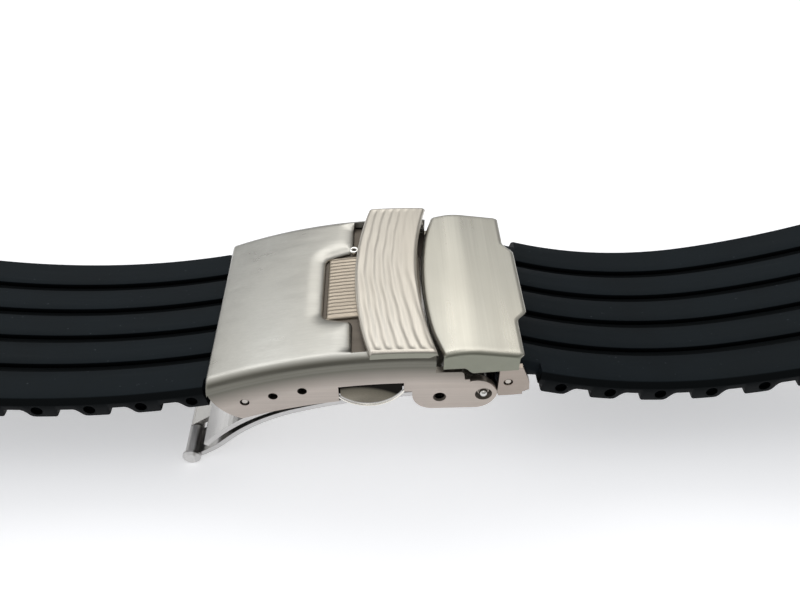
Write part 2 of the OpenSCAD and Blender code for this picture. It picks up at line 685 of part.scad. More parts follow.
module strap_half(start, path, bar, lug, tongue) {
  total = path_len(path);
  difference() {
    union() {
      difference() {
        union() {
          across(-strap_w / 2, strap_w / 2) polygon(concat(
            top_line(start, path, base_t),
            flipped([for (q = underside(total)) spot(start, path, q[0], q[1])])
          ));
          for (i = [0 : 4]) ridge(start, path, ledges[2 * i], ledges[2 * i + 1], band_t);
          for (side = [-1, 1]) {
            y = side * (strap_w / 2 - edge_bevel);
            ridge(start, path, min(y, y + side * edge_bevel / 2), max(y, y + side * edge_bevel / 2),
                  band_t - edge_bevel * 0.35);
          }
        }
        at_pose(start) for (side = [-1, 1])
          translate([-4, side > 0 ? tongue_w / 2 : -strap_w, -4])
            cube([4 + tongue, strap_w - tongue_w / 2, 8]);
      }
      // The bead round the clasp-end bar, faired into the band.
      rod(bar, bead_r, -tongue_w / 2 + 0.05, tongue_w / 2 - 0.05);
      at_pose(start) across(-tongue_w / 2 + 0.35, tongue_w / 2 - 0.35)
        polygon([[-bead_r + 0.2, -bar_drop - 0.2], [-0.95, band_t - 0.4], [-0.6, band_t - 0.05],
                 [0.4, band_t - 0.05], [2.4, 0.2], [bead_r - 0.1, -bar_drop - 0.3]]);
      rod(lug, lug_bead_r, -strap_w / 2, strap_w / 2);
    }
    rod(bar, tube_r + run_fit, -strap_w, strap_w);
    rod(lug, tube_r + run_fit, -strap_w, strap_w);
    for (k = [1 : tooth_count])
      at_pose(along(start, path, k * tooth_pitch)) rod([0, 0], side_hole_d / 2, -strap_w, strap_w);
  }
}
module strap_half_left() {
  color(RUBBER) place() mirror([1, 0, 0]) strap_half(start_a, path_a, [-bar_a[0], bar_a[1]], lug_a, tongue_len);
}
module strap_half_right() {
  color(RUBBER) place() strap_half(start_b, path_b, bar_b, lug_b, tongue_len_b);
}

// Spring bars: a tube with closed-in ends, a spring and two tips with shoulders
collar_t = 0.3;
neck_in = 0.04;
bore_r = tube_r - bar_wall;
shank_r = bore_r - run_fit;
shank_len = 4.6;
spring_wire = 0.09;
module revolved_y(p) { translate([p[0], 0, p[1]]) rotate([-90, 0, 0]) rotate_extrude() children(); }
module bar_tube(p, half) {
  color(BRIGHT) place() revolved_y(p) polygon([
    [bore_r, -half + collar_t], [neck_r + run_fit, -half + collar_t], [neck_r + run_fit, -half],
    [tube_r - 0.1, -half], [tube_r, -half + 0.1], [tube_r, half - 0.1], [tube_r - 0.1, half],
    [neck_r + run_fit, half], [neck_r + run_fit, half - collar_t], [bore_r, half - collar_t]
  ]);
}
module bar_tip(p, half, reach, side) {
  inner = half - collar_t - 0.02;
  color(BRIGHT) place() scale([1, side, 1]) revolved_y(p) polygon([
    [0, inner - shank_len], [shank_r, inner - shank_len], [shank_r, inner], [neck_r, inner],
    [neck_r, half - neck_in], [tip_r, half - neck_in], [tip_r, reach - 0.12], [tip_r - 0.12, reach], [0, reach]
  ]);
}
// The spring's wire is swept round its coil in rings of six points, closed by its two ends.
spring_steps = 8;
spring_sides = 6;
module bar_spring(p, half) {
  reach = half - collar_t - shank_len - 0.04 - spring_wire;
  coil_r = shank_r - spring_wire - 0.03;
  rings = spring_turns * spring_steps;
  points = [
    for (i = [0 : rings]) for (k = [0 : spring_sides - 1])
      let (a = 360 * i / spring_steps, b = 360 * k / spring_sides, r = coil_r + spring_wire * cos(b))
      [p[0] + r * cos(a), -reach + 2 * reach * i / rings + spring_wire * sin(b), p[1] + r * sin(a)]
  ];
  sides = [
    for (i = [0 : rings - 1]) for (k = [0 : spring_sides - 1])
      let (a = i * spring_sides + k, b = i * spring_sides + (k + 1) % spring_sides)
      each [[a, b, a + spring_sides], [b, b + spring_sides, a + spring_sides]]
  ];
  caps = [
    for (k = [1 : spring_sides - 2]) each [
      [0, k + 1, k],
      [rings * spring_sides, rings * spring_sides + k, rings * spring_sides + k + 1]
    ]
  ];
  color(BRIGHT) place() polyhedron(points, concat(sides, caps));
}
clasp_half = tongue_w / 2;
lug_half = strap_w / 2 - 0.1;
left_reach = cover_w / 2 - 0.12;
right_reach = end_out - 0.08;
lug_reach = strap_w / 2 + tip_out;
lug_a_left = [-lug_a[0], lug_a[1]];

module clasp_bar_left_tube() { bar_tube(bar_a, clasp_half); }
module clasp_bar_left_spring() { bar_spring(bar_a, clasp_half); }
module clasp_bar_left_tip_near() { bar_tip(bar_a, clasp_half, left_reach, -1); }
module clasp_bar_left_tip_far() { bar_tip(bar_a, clasp_half, left_reach, 1); }
module clasp_bar_right_tube() { bar_tube(bar_b, clasp_half); }
module clasp_bar_right_spring() { bar_spring(bar_b, clasp_half); }
module clasp_bar_right_tip_near() { bar_tip(bar_b, clasp_half, right_reach, -1); }
module clasp_bar_right_tip_far() { bar_tip(bar_b, clasp_half, right_reach, 1); }
module lug_bar_left_tube() { bar_tube(lug_a_left, lug_half); }
module lug_bar_left_spring() { bar_spring(lug_a_left, lug_half); }
module lug_bar_left_tip_near() { bar_tip(lug_a_left, lug_half, lug_reach, -1); }
module lug_bar_left_tip_far() { bar_tip(lug_a_left, lug_half, lug_reach, 1); }
module lug_bar_right_tube() { bar_tube(lug_b, lug_half); }
module lug_bar_right_spring() { bar_spring(lug_b, lug_half); }
module lug_bar_right_tip_near() { bar_tip(lug_b, lug_half, lug_reach, -1); }
module lug_bar_right_tip_far() { bar_tip(lug_b, lug_half, lug_reach, 1); }

cover_shell();
bridge_plate();
detent_stud();
fold_rivet();
safety_band();
band_hinge_pins();
lock_flap();
flap_hinge_pins();
middle_blade();
barrel_pin();
lower_blade();
end_piece();
end_rivets();
strap_half_left();
strap_half_right();
clasp_bar_left_tube();
clasp_bar_left_spring();
clasp_bar_left_tip_near();
clasp_bar_left_tip_far();
clasp_bar_right_tube();
clasp_bar_right_spring();
clasp_bar_right_tip_near();
clasp_bar_right_tip_far();
lug_bar_left_tube();
lug_bar_left_spring();
lug_bar_left_tip_near();
lug_bar_left_tip_far();
lug_bar_right_tube();
lug_bar_right_spring();
lug_bar_right_tip_near();
lug_bar_right_tip_far();
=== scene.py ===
import math
import bmesh
import bpy
import numpy as np
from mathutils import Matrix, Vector


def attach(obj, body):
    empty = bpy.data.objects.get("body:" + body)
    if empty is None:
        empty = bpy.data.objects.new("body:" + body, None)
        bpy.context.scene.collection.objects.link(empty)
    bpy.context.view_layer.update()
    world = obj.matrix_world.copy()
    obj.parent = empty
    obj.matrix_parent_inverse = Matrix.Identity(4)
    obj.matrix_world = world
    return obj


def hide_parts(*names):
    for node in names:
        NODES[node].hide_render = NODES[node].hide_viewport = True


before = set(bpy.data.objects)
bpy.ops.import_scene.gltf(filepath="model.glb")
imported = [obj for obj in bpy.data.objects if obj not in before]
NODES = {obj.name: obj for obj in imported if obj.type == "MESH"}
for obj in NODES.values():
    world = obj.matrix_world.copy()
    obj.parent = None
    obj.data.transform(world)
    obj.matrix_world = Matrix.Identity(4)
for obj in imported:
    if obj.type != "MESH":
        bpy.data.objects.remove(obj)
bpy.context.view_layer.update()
MM = 0.001

# Places from the CAD source, in millimetres of the clasp's own frame. FX and FZ lead to the part's frame.
FX, FZ = 1.71343, 7.94906
ARCH_C = (2.0, -47.35)
ARCH_R = 57.0
RIVET = (9.86025, 3.93385)
BARREL = (-21.6761, -6.94906)
BAR_A = (-14.24, 3.44)
BAR_B = (12.3802, 4.84385)
LUG_A = (-92.6625, -5.74906)
LUG_B = (89.2356, -5.74906)

# The strap, in millimetres
STRAP_HALF = 11.0
TONGUE_HALF = 9.9
TONGUE_LEFT = 3.8
TONGUE_RIGHT = 2.75
BAND_T = 1.35
BEVEL = 0.62
BEVEL_DEPTH = 0.6
GROOVE_PITCH = 4.2
GROOVES = (-6.3, -2.1, 2.1, 6.3)
GROOVE_HALF = 0.6
# Where a rib and the underside have points between their edges, as shares of their width
RIB_STEPS = (0.33, 0.67)
UNDER_STEPS = (0.6, 0.2, -0.2, -0.6)
# From the edge inwards, with a share of the bevel's depth
BEVEL_LINE = ((BEVEL, 0.0), (0.55, 0.05), (0.49, 0.16), (0.05, 0.88), (0.0, 1.0))
# From a groove's middle line outwards, with a depth
GROOVE_LINE = ((GROOVE_HALF, 0.0), (0.56, 0.03), (0.54, 0.12), (0.51, 0.62), (0.44, 0.66))
BAR_HOLE_R = 0.95
# The bead round the bar in the clasp, whose axis is BAR_DROP under the underside, ends after BEAD_RUN.
BAR_DROP = 0.9
BEAD_R = 1.3
BEAD_RUN = 2.6
# Towards the watch the strap thickens within TAPER to a round end, with its bar LUG_IN under the underside.
LUG_R = 2.2
LUG_IN = LUG_R - BAND_T + 0.04
TAPER = 11.0
TEETH = 12
PITCH = 5.3
TOOTH_D = 1.05
# Along the strap from a tooth's middle, with a height from the strap's underside
TOOTH_LINE = ((-2.3, 0), (-2.1, -0.03), (-1.98, -0.25), (-1.93, -0.75), (-1.83, -0.97),
              (-1.65, -TOOTH_D), (-0.6, -TOOTH_D), (0.3, -TOOTH_D), (0.62, -1.0), (0.85, -0.82),
              (1.15, -0.4), (1.42, -0.12), (1.7, 0))
SIDE_HOLE_R = 0.6
# Past both sides of the strap, for what cuts its holes
HOLE_HALF = 12
# Each half's fall at the clasp in degrees, then its stretches: (radius, degrees), with a minus to turn down,
# or (0, length). The left half is worked out as if it ran to the right, and then mirrored.
FALL_LEFT, STRETCHES_LEFT = 12.5, [(85, 22), (0, 12), (-40, 47.5)]
FALL_RIGHT, STRETCHES_RIGHT = 20, [(48, 29), (90, 8.7), (-36, 57.7)]

# The cover of the clasp, in millimetres. A radius about ARCH_C gives the height of an arched face.
COVER_HALF = 11.4
COVER_LEFT = -17.9
COVER_T = 0.68
SHOULDER = 1.2
SHOULDER_TURN = (20, 28, 36, 44, 52, 60, 68, 76, 83, 90)
FLAT_HALF = COVER_HALF - SHOULDER
SKIN_HALF = 10.45
# The right edge of its top: the lip at each side, and the recess in the middle
LIP = -3.3
LIP_Y, LIP_ROUND = 6.2, (0.78, 0.72)
RECESS_BACK = -6.4
RECESS_HALF, RECESS_ROUND = 4.0, 1.0
# How far in from the right edge and from the left one it is rounded over, and by how much
RIM, RIM_DROP = 2.0, 0.74
LEFT_ROUND, LEFT_DROP = 0.3, 0.25

# Its two walls, and their undersides beside the ear, over the window and at the heel on the left
WALL_IN = 10.6
WALL_LEFT = -17.72
WALL_RIGHT = 4.95
WALL_TOP_R = 55.95
WALL_LOW_R = 51.9
WINDOW_R = 53.2
WINDOW_LEFT, WINDOW_RIGHT = -4.73, 1.82
HEEL_R = 51.1
HEEL_LEFT = -14.75
EAR_R = 2.05
EAR_LEFT, EAR_FAR = RIVET[0] - 7.2, RIVET[0] - 0.8
EAR_NEAR = EAR_LEFT + EAR_R
NOSE_R = 1.35
EAR_TOP = RIVET[1] + 2.25
EAR_HOLE = (RIVET[0] - 4.44, RIVET[1] - 0.31)
EAR_HOLE_R = 0.5
RIVET_HOLE_R = 0.47
ADJUST_STEP = 3.05
ADJUST_R = 0.48
ADJUST_HOLES = 3
# Each one's middle, its radius outside and inside, and its depth
COUNTERSINKS = ((RIVET, 0.86, 0.6, 0.45), (EAR_HOLE, 0.66, 0.52, 0.2))
# Past both faces of a wall, for what cuts its holes
WALL_TOOL = (10, 12)

# What is inside and beside the cover
PLATE_R = ARCH_R - 0.83
PLATE_T = 0.6
PLATE_HALF = 10.52
PLATE_LEFT, PLATE_RIGHT = -7.3, 3.9
GRIP_R = 56.47
GRIP_HALF = 4.88
GRIP_LEFT, GRIP_RIGHT = -6.02, -2.45
GRIP_RIBS = 18
GRIP_ROUND = 0.5
GRIP_STEPS = (0, 0.02, 0.05, 0.09, 0.14, 0.2, 0.3, 0.4, 0.5, 0.6, 0.7, 0.8, 0.9, 1.0)
STUD = (-3.26, 5.72, 8.52)
# The rim and the dish of a pull wing are rounds about these places.
WING_RIM = (-1.72, RIVET[1] + 2.52)
WING_DISH = (-1.72, RIVET[1] + 2.72)
WING_RIM_R = 4.08
WING_RIM_Y = 11.14

# The safety band and the flap
BAND_HALF = 11.7
BAND_TOP_R = 58.0
BAND_LOW_R = 57.12
BAND_PIVOT = (4.5, 8.65)
BAND_LUG = (9.7, 10.46)
BAND_LEFT, BAND_LEFT_R = -3.05, 44.4
BAND_RIGHT, BAND_RIGHT_R = 3.55, 46.4
BAND_WAVES = 6
FLAP_PIVOT = (6.15, 8.42)
FLAP_LUG = (9.8, 10.58)
FLAP_HALF = 11.3
FLAP_T = 0.6
FLAP_GAP = 0.5
FLAP_CORNER = 0.62
FLAP_END = 13.65
TAB_OUT = 1.1
TAB_HALF = 4.7
CREST = (7.940, 10.090)
CREST_R = 7.0
CREST_RISE, CREST_FALL = 13, 8


def part(x, y, z):
    """From millimetres of the clasp's frame to metres of the part's."""
    return ((x + FX) * MM, y * MM, (z + FZ) * MM)


def arch_z(x, r):
    """The height over x of a circle about the arch's centre."""
    return ARCH_C[1] + math.sqrt(r * r - (x - ARCH_C[0]) ** 2)


def smooth(u):
    """An S-curve from 0 to 1."""
    u = min(max(u, 0.0), 1.0)
    return u * u * (3 - 2 * u)


# Mesh helpers

def make(name, verts, faces):
    """A smooth mesh, its points merged where they meet and its faces turned outwards."""
    me = bpy.data.meshes.new(name)
    me.from_pydata([tuple(map(float, v)) for v in verts], [], [tuple(map(int, f)) for f in faces])
    me.validate()
    bm = bmesh.new()
    bm.from_mesh(me)
    bmesh.ops.remove_doubles(bm, verts=bm.verts, dist=1e-7)
    bmesh.ops.recalc_face_normals(bm, faces=bm.faces)
    bm.to_mesh(me)
    bm.free()
    ob = bpy.data.objects.new(name, me)
    bpy.context.scene.collection.objects.link(ob)
    for p in me.polygons:
        p.use_smooth = True
    return ob


def active(ob):
    bpy.ops.object.select_all(action="DESELECT")
    ob.select_set(True)
    bpy.context.view_layer.objects.active = ob


def apply(ob, kind, **values):
    """Adds a modifier with these settings, and applies it."""
    m = ob.modifiers.new(kind.lower(), kind)
    for k, v in values.items():
        setattr(m, k, v)
    active(ob)
    bpy.ops.object.modifier_apply(modifier=m.name)


def cut(ob, other):
    """Takes one closed mesh out of another, and deletes it."""
    apply(ob, "BOOLEAN", object=other, operation="DIFFERENCE", solver="EXACT")
    me = other.data
    bpy.data.objects.remove(other)
    bpy.data.meshes.remove(me)


def shade(ob, degrees=30):
    active(ob)
    bpy.ops.object.shade_smooth_by_angle(angle=math.radians(degrees))


def prism(name, outline, y0, y1):
    """A closed outline of (x, z) drawn out across the strap."""
    n = len(outline)
    verts = [part(x, y0, z) for x, z in outline] + [part(x, y1, z) for x, z in outline]
    faces = [(i, (i + 1) % n, (i + 1) % n + n, i + n) for i in range(n)]
    faces += [tuple(range(n)), tuple(range(2 * n - 1, n - 1, -1))]
    return make(name, verts, faces)


def circle(c, r, n):
    """n places on a circle round c."""
    turns = [2 * math.pi * i / n for i in range(n)]
    return [(c[0] + r * math.cos(a), c[1] + r * math.sin(a)) for a in turns]


def rod(name, p, r, y0, y1, n):
    """A cylinder of n sides along the width, its axis at p = (x, z)."""
    return prism(name, circle(p, r, n), y0, y1)


def grid(name, rows, closed=False, caps=False):
    """rows: a list of equally long lists of points. closed joins each row's end to its start."""
    m = len(rows[0])
    verts = [p for row in rows for p in row]
    faces = []
    for i in range(len(rows) - 1):
        for j in range(m if closed else m - 1):
            k = (j + 1) % m
            faces.append((i * m + j, i * m + k, (i + 1) * m + k, (i + 1) * m + j))
    if caps:
        faces.append(tuple(range(m)))
        faces.append(tuple((len(rows) - 1) * m + j for j in range(m - 1, -1, -1)))
    return make(name, verts, faces)


def sheet(name, *grids):
    """One open skin out of grids of points that meet edge to edge."""
    verts, faces = [], []
    for rows in grids:
        base, m = len(verts), len(rows[0])
        verts += [q for row in rows for q in row]
        for i in range(len(rows) - 1):
            for j in range(m - 1):
                a = base + i * m + j
                faces.append((a, a + 1, a + m + 1, a + m))
    return make(name, verts, faces)


def upwards(ob):
    """Turns the skin's faces so that most of them look up."""
    me = ob.data
    if sum(q.normal.z * q.area for q in me.polygons) < 0:
        me.flip_normals()


def closed(name, outer, inner):
    """Two equally large grids of points, joined round their rims."""
    n, m = len(outer), len(outer[0])
    k = n * m
    verts = [q for row in outer for q in row] + [q for row in inner for q in row]
    faces = []
    for i in range(n - 1):
        for j in range(m - 1):
            a = i * m + j
            faces += [(a, a + 1, a + m + 1, a + m), (k + a, k + a + m, k + a + m + 1, k + a + 1)]
    rim = [(0, j) for j in range(m)] + [(i, m - 1) for i in range(1, n)]
    rim += [(n - 1, j) for j in range(m - 2, -1, -1)] + [(i, 0) for i in range(n - 2, 0, -1)]
    for a, b in zip(rim, rim[1:] + rim[:1]):
        ia, ib = a[0] * m + a[1], b[0] * m + b[1]
        faces.append((ia, ib, k + ib, k + ia))
    return make(name, verts, faces)


def join(first, *rest):
    """One object out of several, with the first one's name."""
    active(first)
    for o in rest:
        o.select_set(True)
    bpy.ops.object.join()
    return first


def soften(ob, width, segments=3, degrees=35):
    apply(ob, "BEVEL", width=width * MM, segments=segments, limit_method="ANGLE",
          angle_limit=math.radians(degrees), use_clamp_overlap=True)


def arc_pts(c, r, a0, a1, n):
    """Places on an arc round c, from one angle to another in degrees."""
    turns = [math.radians(a0 + (a1 - a0) * i / n) for i in range(n + 1)]
    return [(c[0] + r * math.cos(a), c[1] + r * math.sin(a)) for a in turns]


def edge_drop(d, width, depth):
    """How far a rounded edge lies below the flat at a distance d from the rim."""
    if d >= width:
        return 0.0
    return depth * (1 - math.sqrt(max(0.0, 1 - (1 - d / width) ** 2)))


# Materials

class Nodes:
    """A material with a Principled shader, and short calls for the nodes that feed it."""

    def __init__(self, name):
        self.mat = bpy.data.materials.new(name)
        self.mat.use_nodes = True
        self.tree = self.mat.node_tree
        self.tree.nodes.clear()
        self.out = self.tree.nodes.new("ShaderNodeOutputMaterial")
        self.bsdf = self.tree.nodes.new("ShaderNodeBsdfPrincipled")
        self.tree.links.new(self.bsdf.outputs[0], self.out.inputs[0])
        self.coords = self.tree.nodes.new("ShaderNodeTexCoord").outputs["Object"]

    def link(self, a, b):
        self.tree.links.new(a, b)

    def xyz(self):
        n = self.tree.nodes.new("ShaderNodeSeparateXYZ")
        self.link(self.coords, n.inputs[0])
        return n.outputs

    def away(self, x, z, at_x, at_z):
        """The distance from a line along the width, at a place in the clasp's frame, with its x part."""
        dx = self.math("SUBTRACT", x, (at_x + FX) * MM)
        dz = self.math("SUBTRACT", z, (at_z + FZ) * MM)
        square = self.math("ADD", self.math("MULTIPLY", dx, dx), self.math("MULTIPLY", dz, dz))
        return self.math("SQRT", square), dx

    def stretch(self, scale, rot=(0, 0, 0)):
        n = self.tree.nodes.new("ShaderNodeMapping")
        n.inputs["Scale"].default_value = scale
        n.inputs["Rotation"].default_value = rot
        self.link(self.coords, n.inputs["Vector"])
        return n.outputs[0]

    def noise(self, vec, scale, detail=4, rough=0.6):
        n = self.tree.nodes.new("ShaderNodeTexNoise")
        n.inputs["Scale"].default_value = scale
        n.inputs["Detail"].default_value = detail
        n.inputs["Roughness"].default_value = rough
        self.link(vec, n.inputs["Vector"])
        return n.outputs[0]

    def ramp(self, fac, stops):
        n = self.tree.nodes.new("ShaderNodeValToRGB")
        e = n.color_ramp.elements
        e[0].position, e[0].color = stops[0][0], (*stops[0][1], 1)
        e[1].position, e[1].color = stops[-1][0], (*stops[-1][1], 1)
        for pos, col in stops[1:-1]:
            x = e.new(pos)
            x.color = (*col, 1)
        self.link(fac, n.inputs[0])
        return n.outputs[0]

    def span(self, fac, lo, hi, a=0.0, b=1.0):
        n = self.tree.nodes.new("ShaderNodeMapRange")
        for i, v in enumerate((lo, hi, a, b)):
            n.inputs[i + 1].default_value = v
        self.link(fac, n.inputs[0])
        return n.outputs[0]

    def math(self, op, a, b=None):
        n = self.tree.nodes.new("ShaderNodeMath")
        n.operation = op
        for i, v in enumerate((a, b)):
            if v is None:
                continue
            if isinstance(v, (int, float)):
                n.inputs[i].default_value = v
            else:
                self.link(v, n.inputs[i])
        return n.outputs[0]

    def mix(self, fac, a, b):
        n = self.tree.nodes.new("ShaderNodeMix")
        n.data_type = "RGBA"
        for name, v in (("Factor_Float", fac), ("A_Color", a), ("B_Color", b)):
            s = next(i for i in n.inputs if i.identifier == name)
            if isinstance(v, (int, float)):
                s.default_value = v
            elif isinstance(v, tuple):
                s.default_value = (*v, 1)
            else:
                self.link(v, s)
        return next(o for o in n.outputs if o.identifier == "Result_Color")

    def bump(self, height, distance, strength=1.0, normal=None):
        n = self.tree.nodes.new("ShaderNodeBump")
        n.inputs["Strength"].default_value = strength
        n.inputs["Distance"].default_value = distance
        self.link(height, n.inputs["Height"])
        if normal is not None:
            self.link(normal, n.inputs["Normal"])
        return n.outputs[0]

    def round_edges(self, radius):
        n = self.tree.nodes.new("ShaderNodeBevel")
        n.samples = 6
        n.inputs["Radius"].default_value = radius
        return n.outputs[0]


def steel(name, base, rough, along=(1, 0, 0), edge=0, side=None, top=None):
    """Satin stainless steel with brush lines along one axis. side is painted shade on the long edges,
    and top a band of painted shade under a wall's top: from, to in millimetres, and the colour there."""
    m = Nodes(name)
    fine = tuple(60.0 if a else 5200.0 for a in along)
    mid = tuple(24.0 if a else 900.0 for a in along)
    lines = m.noise(m.stretch(fine), 1.0, 3, 0.7)
    broad = m.noise(m.stretch(mid), 1.0, 2, 0.5)
    blot = m.noise(m.coords, 140.0, 4, 0.55)
    smear = m.noise(m.stretch((1, 0.5, 1)), 60.0, 2, 0.5)
    dark = tuple(c * 0.93 for c in base)
    light = tuple(min(c * 1.05, 0.95) for c in base)
    col = m.mix(m.span(lines, 0.3, 0.7), dark, light)
    col = m.mix(m.span(blot, 0.35, 0.75, 0.0, 0.35), col, tuple(c * 0.82 for c in base))
    warm = (base[0] * 1.03, base[1] * 0.99, base[2] * 0.93)
    col = m.mix(m.span(smear, 0.4, 0.7, 0.0, 0.5), col, warm)
    # Painted shade: darker towards the outer side of the long edges
    if side:
        out = m.math("ABSOLUTE", m.xyz()[1])
        col = m.mix(m.span(out, side[0] * MM, side[1] * MM), col, side[2])
    # Painted shade: a darker band under the upper end of a wall, by the distance from the arch's centre
    if top:
        x, _, z = m.xyz()
        col = m.mix(m.span(m.away(x, z, *ARCH_C)[0], top[0] * MM, top[1] * MM), col, top[2])
    m.link(col, m.bsdf.inputs["Base Color"])
    m.bsdf.inputs["Metallic"].default_value = 1.0
    worn = m.span(broad, 0.3, 0.7, rough - 0.05, rough + 0.05)
    m.link(m.math("ADD", worn, m.span(blot, 0.3, 0.8, -0.03, 0.06)), m.bsdf.inputs["Roughness"])
    n = m.round_edges(edge * MM) if edge else None
    n = m.bump(lines, 0.0016 * MM, 0.6, n)
    n = m.bump(smear, 0.03 * MM, 0.12, n)
    m.link(n, m.bsdf.inputs["Normal"])
    return m.mat


def barrel_painted_light(m):
    """1 on the upper left of the barrel of the lower hinge: a patch of painted light, paler and less
    metallic.
    """
    x, _, z = m.xyz()
    far, dx = m.away(x, z, *BARREL)
    return m.math("MULTIPLY", m.span(far, 1.2 * MM, 1.1 * MM), m.span(dx, 0.45 * MM, 0.25 * MM))


def polished(name, base=(0.66, 0.65, 0.63), rough=0.14, edge=0.06, barrel=False):
    """Polished stainless steel with a slight haze, with painted light on the barrel where that is asked."""
    m = Nodes(name)
    haze = m.noise(m.coords, 260.0, 5, 0.6)
    lines = m.noise(m.stretch((70, 3200, 70)), 1.0, 3, 0.7)
    col = m.mix(m.span(haze, 0.35, 0.75), tuple(c * 0.9 for c in base), base)
    m.bsdf.inputs["Metallic"].default_value = 1.0
    if barrel:
        # Painted light: the upper left of the barrel paler and less metallic than the blades
        barrel_light = barrel_painted_light(m)
        col = m.mix(barrel_light, col, (0.85, 0.83, 0.80))
        m.link(m.span(barrel_light, 0, 1, 1.0, 0.25), m.bsdf.inputs["Metallic"])
    m.link(col, m.bsdf.inputs["Base Color"])
    hazy, scored = m.span(haze, 0.3, 0.8, rough - 0.03, rough + 0.07), m.span(lines, 0.45, 0.8, 0.0, 0.05)
    m.link(m.math("ADD", hazy, scored), m.bsdf.inputs["Roughness"])
    n = m.round_edges(edge * MM)
    m.link(m.bump(haze, 0.006 * MM, 0.5, n), m.bsdf.inputs["Normal"])
    return m.mat


def wing_steel(name):
    """Polished steel, with painted shade on the dished faces of the two pull wings, darker towards their
    top.
    """
    m = Nodes(name)
    haze = m.noise(m.coords, 260.0, 5, 0.6)
    x, y, z = m.xyz()
    far, dx = m.away(x, z, *WING_DISH)
    dish = m.span(far, 4.02 * MM, 3.9 * MM)
    wing = m.math("MULTIPLY", dish, m.span(m.math("ABSOLUTE", y), 9.6 * MM, 9.9 * MM))
    # Painted shade: the higher a dish rises, the darker it is painted
    high = m.math("ADD", z, m.math("MULTIPLY", dx, 0.12))
    shaded = m.ramp(m.span(high, (2.6 + FZ) * MM, (5.0 + FZ) * MM),
                    [(0.0, (0.30, 0.275, 0.225)), (0.4, (0.16, 0.145, 0.115)), (0.62, (0.10, 0.092, 0.072)),
                     (0.74, (0.010, 0.009, 0.008))])
    plain = m.mix(m.span(haze, 0.35, 0.75), (0.56, 0.55, 0.54), (0.66, 0.65, 0.63))
    m.link(m.mix(wing, plain, shaded), m.bsdf.inputs["Base Color"])
    m.bsdf.inputs["Metallic"].default_value = 1.0
    m.link(m.span(haze, 0.3, 0.8, 0.2, 0.3), m.bsdf.inputs["Roughness"])
    m.link(m.bump(haze, 0.006 * MM, 0.5, m.round_edges(0.06 * MM)), m.bsdf.inputs["Normal"])
    return m.mat


def rubber(name, base):
    """Matt moulded rubber with specks of dust, and painted shade that makes it nearly black in its grooves
    and on its long sides.
    """
    m = Nodes(name)
    grain = m.noise(m.coords, 5200.0, 3, 0.6)
    cloud = m.noise(m.coords, 90.0, 4, 0.6)
    dust = m.noise(m.stretch((1.0, 1.3, 1.0)), 2300.0, 2, 0.4)
    scratch = m.noise(m.stretch((60, 1500, 300), (0, 0, 0.06)), 1.0, 2, 0.5)
    col = m.mix(m.span(cloud, 0.35, 0.7), tuple(c * 0.8 for c in base), tuple(c * 1.35 for c in base))
    col = m.mix(m.span(dust, 0.735, 0.80, 0.0, 0.35), col, (0.10, 0.11, 0.12))
    # Painted shade: nearly black in the grooves and on the bevels of the long sides
    out = m.math("ABSOLUTE", m.xyz()[1])
    off = m.math("ABSOLUTE", m.math("SUBTRACT", out, GROOVE_PITCH * MM))
    off = m.math("ABSOLUTE", m.math("SUBTRACT", off, GROOVE_PITCH / 2 * MM))
    dark = m.math("MAXIMUM", m.span(off, GROOVE_HALF * MM, (GROOVE_HALF - 0.08) * MM),
                  m.span(out, (STRAP_HALF - 0.58) * MM, (STRAP_HALF - 0.5) * MM))
    col = m.mix(dark, col, tuple(c * 0.08 for c in base))
    m.link(col, m.bsdf.inputs["Base Color"])
    r = m.math("ADD", m.span(cloud, 0.3, 0.7, 0.50, 0.60), m.span(scratch, 0.6, 0.8, 0.0, -0.10))
    m.link(r, m.bsdf.inputs["Roughness"])
    m.bsdf.inputs["Specular IOR Level"].default_value = 0.09
    m.bsdf.inputs["Specular Tint"].default_value = (0.78, 0.92, 1.0, 1)
    n = m.bump(grain, 0.006 * MM, 0.55)
    n = m.bump(cloud, 0.05 * MM, 0.15, n)
    m.link(n, m.bsdf.inputs["Normal"])
    return m.mat


ACROSS = (0, 1, 0)
# The cover, the band and the flap get painted shade on their long edges: shoulders, end faces, flanges
SATIN_COVER = steel("satin_steel_cover", base=(0.475, 0.47, 0.443), rough=0.33,
                    side=(10.55, 11.1, (0.17, 0.165, 0.14)))
SATIN_BAND = steel("satin_steel_band", base=(0.53, 0.50, 0.45), rough=0.34, along=ACROSS,
                   side=(11.6, 11.68, (0.26, 0.26, 0.215)))
SATIN_FLAP = steel("satin_steel_flap", base=(0.50, 0.49, 0.442), rough=0.31, along=ACROSS,
                   side=(10.85, 11.2, (0.23, 0.235, 0.19)))
# A darker, pinkish copy of the cover's steel for the walls: painted shade and painted reflection
SHADED_WALL_STEEL = steel("satin_steel_wall_painted_shade", base=(0.46, 0.41, 0.37), rough=0.34,
                   top=(53.2, 55.4, (0.15, 0.145, 0.122)))
SATIN_GRIP = steel("satin_steel_grip", base=(0.37, 0.325, 0.27), rough=0.36)
# Painted shade: the plate under the recess is steel painted nearly black
SHADED_PLATE_STEEL = steel("steel_under_plate_painted_shade", base=(0.12, 0.105, 0.09), rough=0.42)
# A darker, warmer copy of the steel for the end piece: painted shade and painted reflection
SHADED_END_STEEL = steel("satin_steel_end_painted_shade", base=(0.37, 0.325, 0.29), rough=0.32, edge=0.1)
# Painted shade: nearly black steel for faces inside holes and hollows
RECESS_SHADE = steel("painted_shade_in_recesses", base=(0.085, 0.075, 0.065), rough=0.45, along=ACROSS)
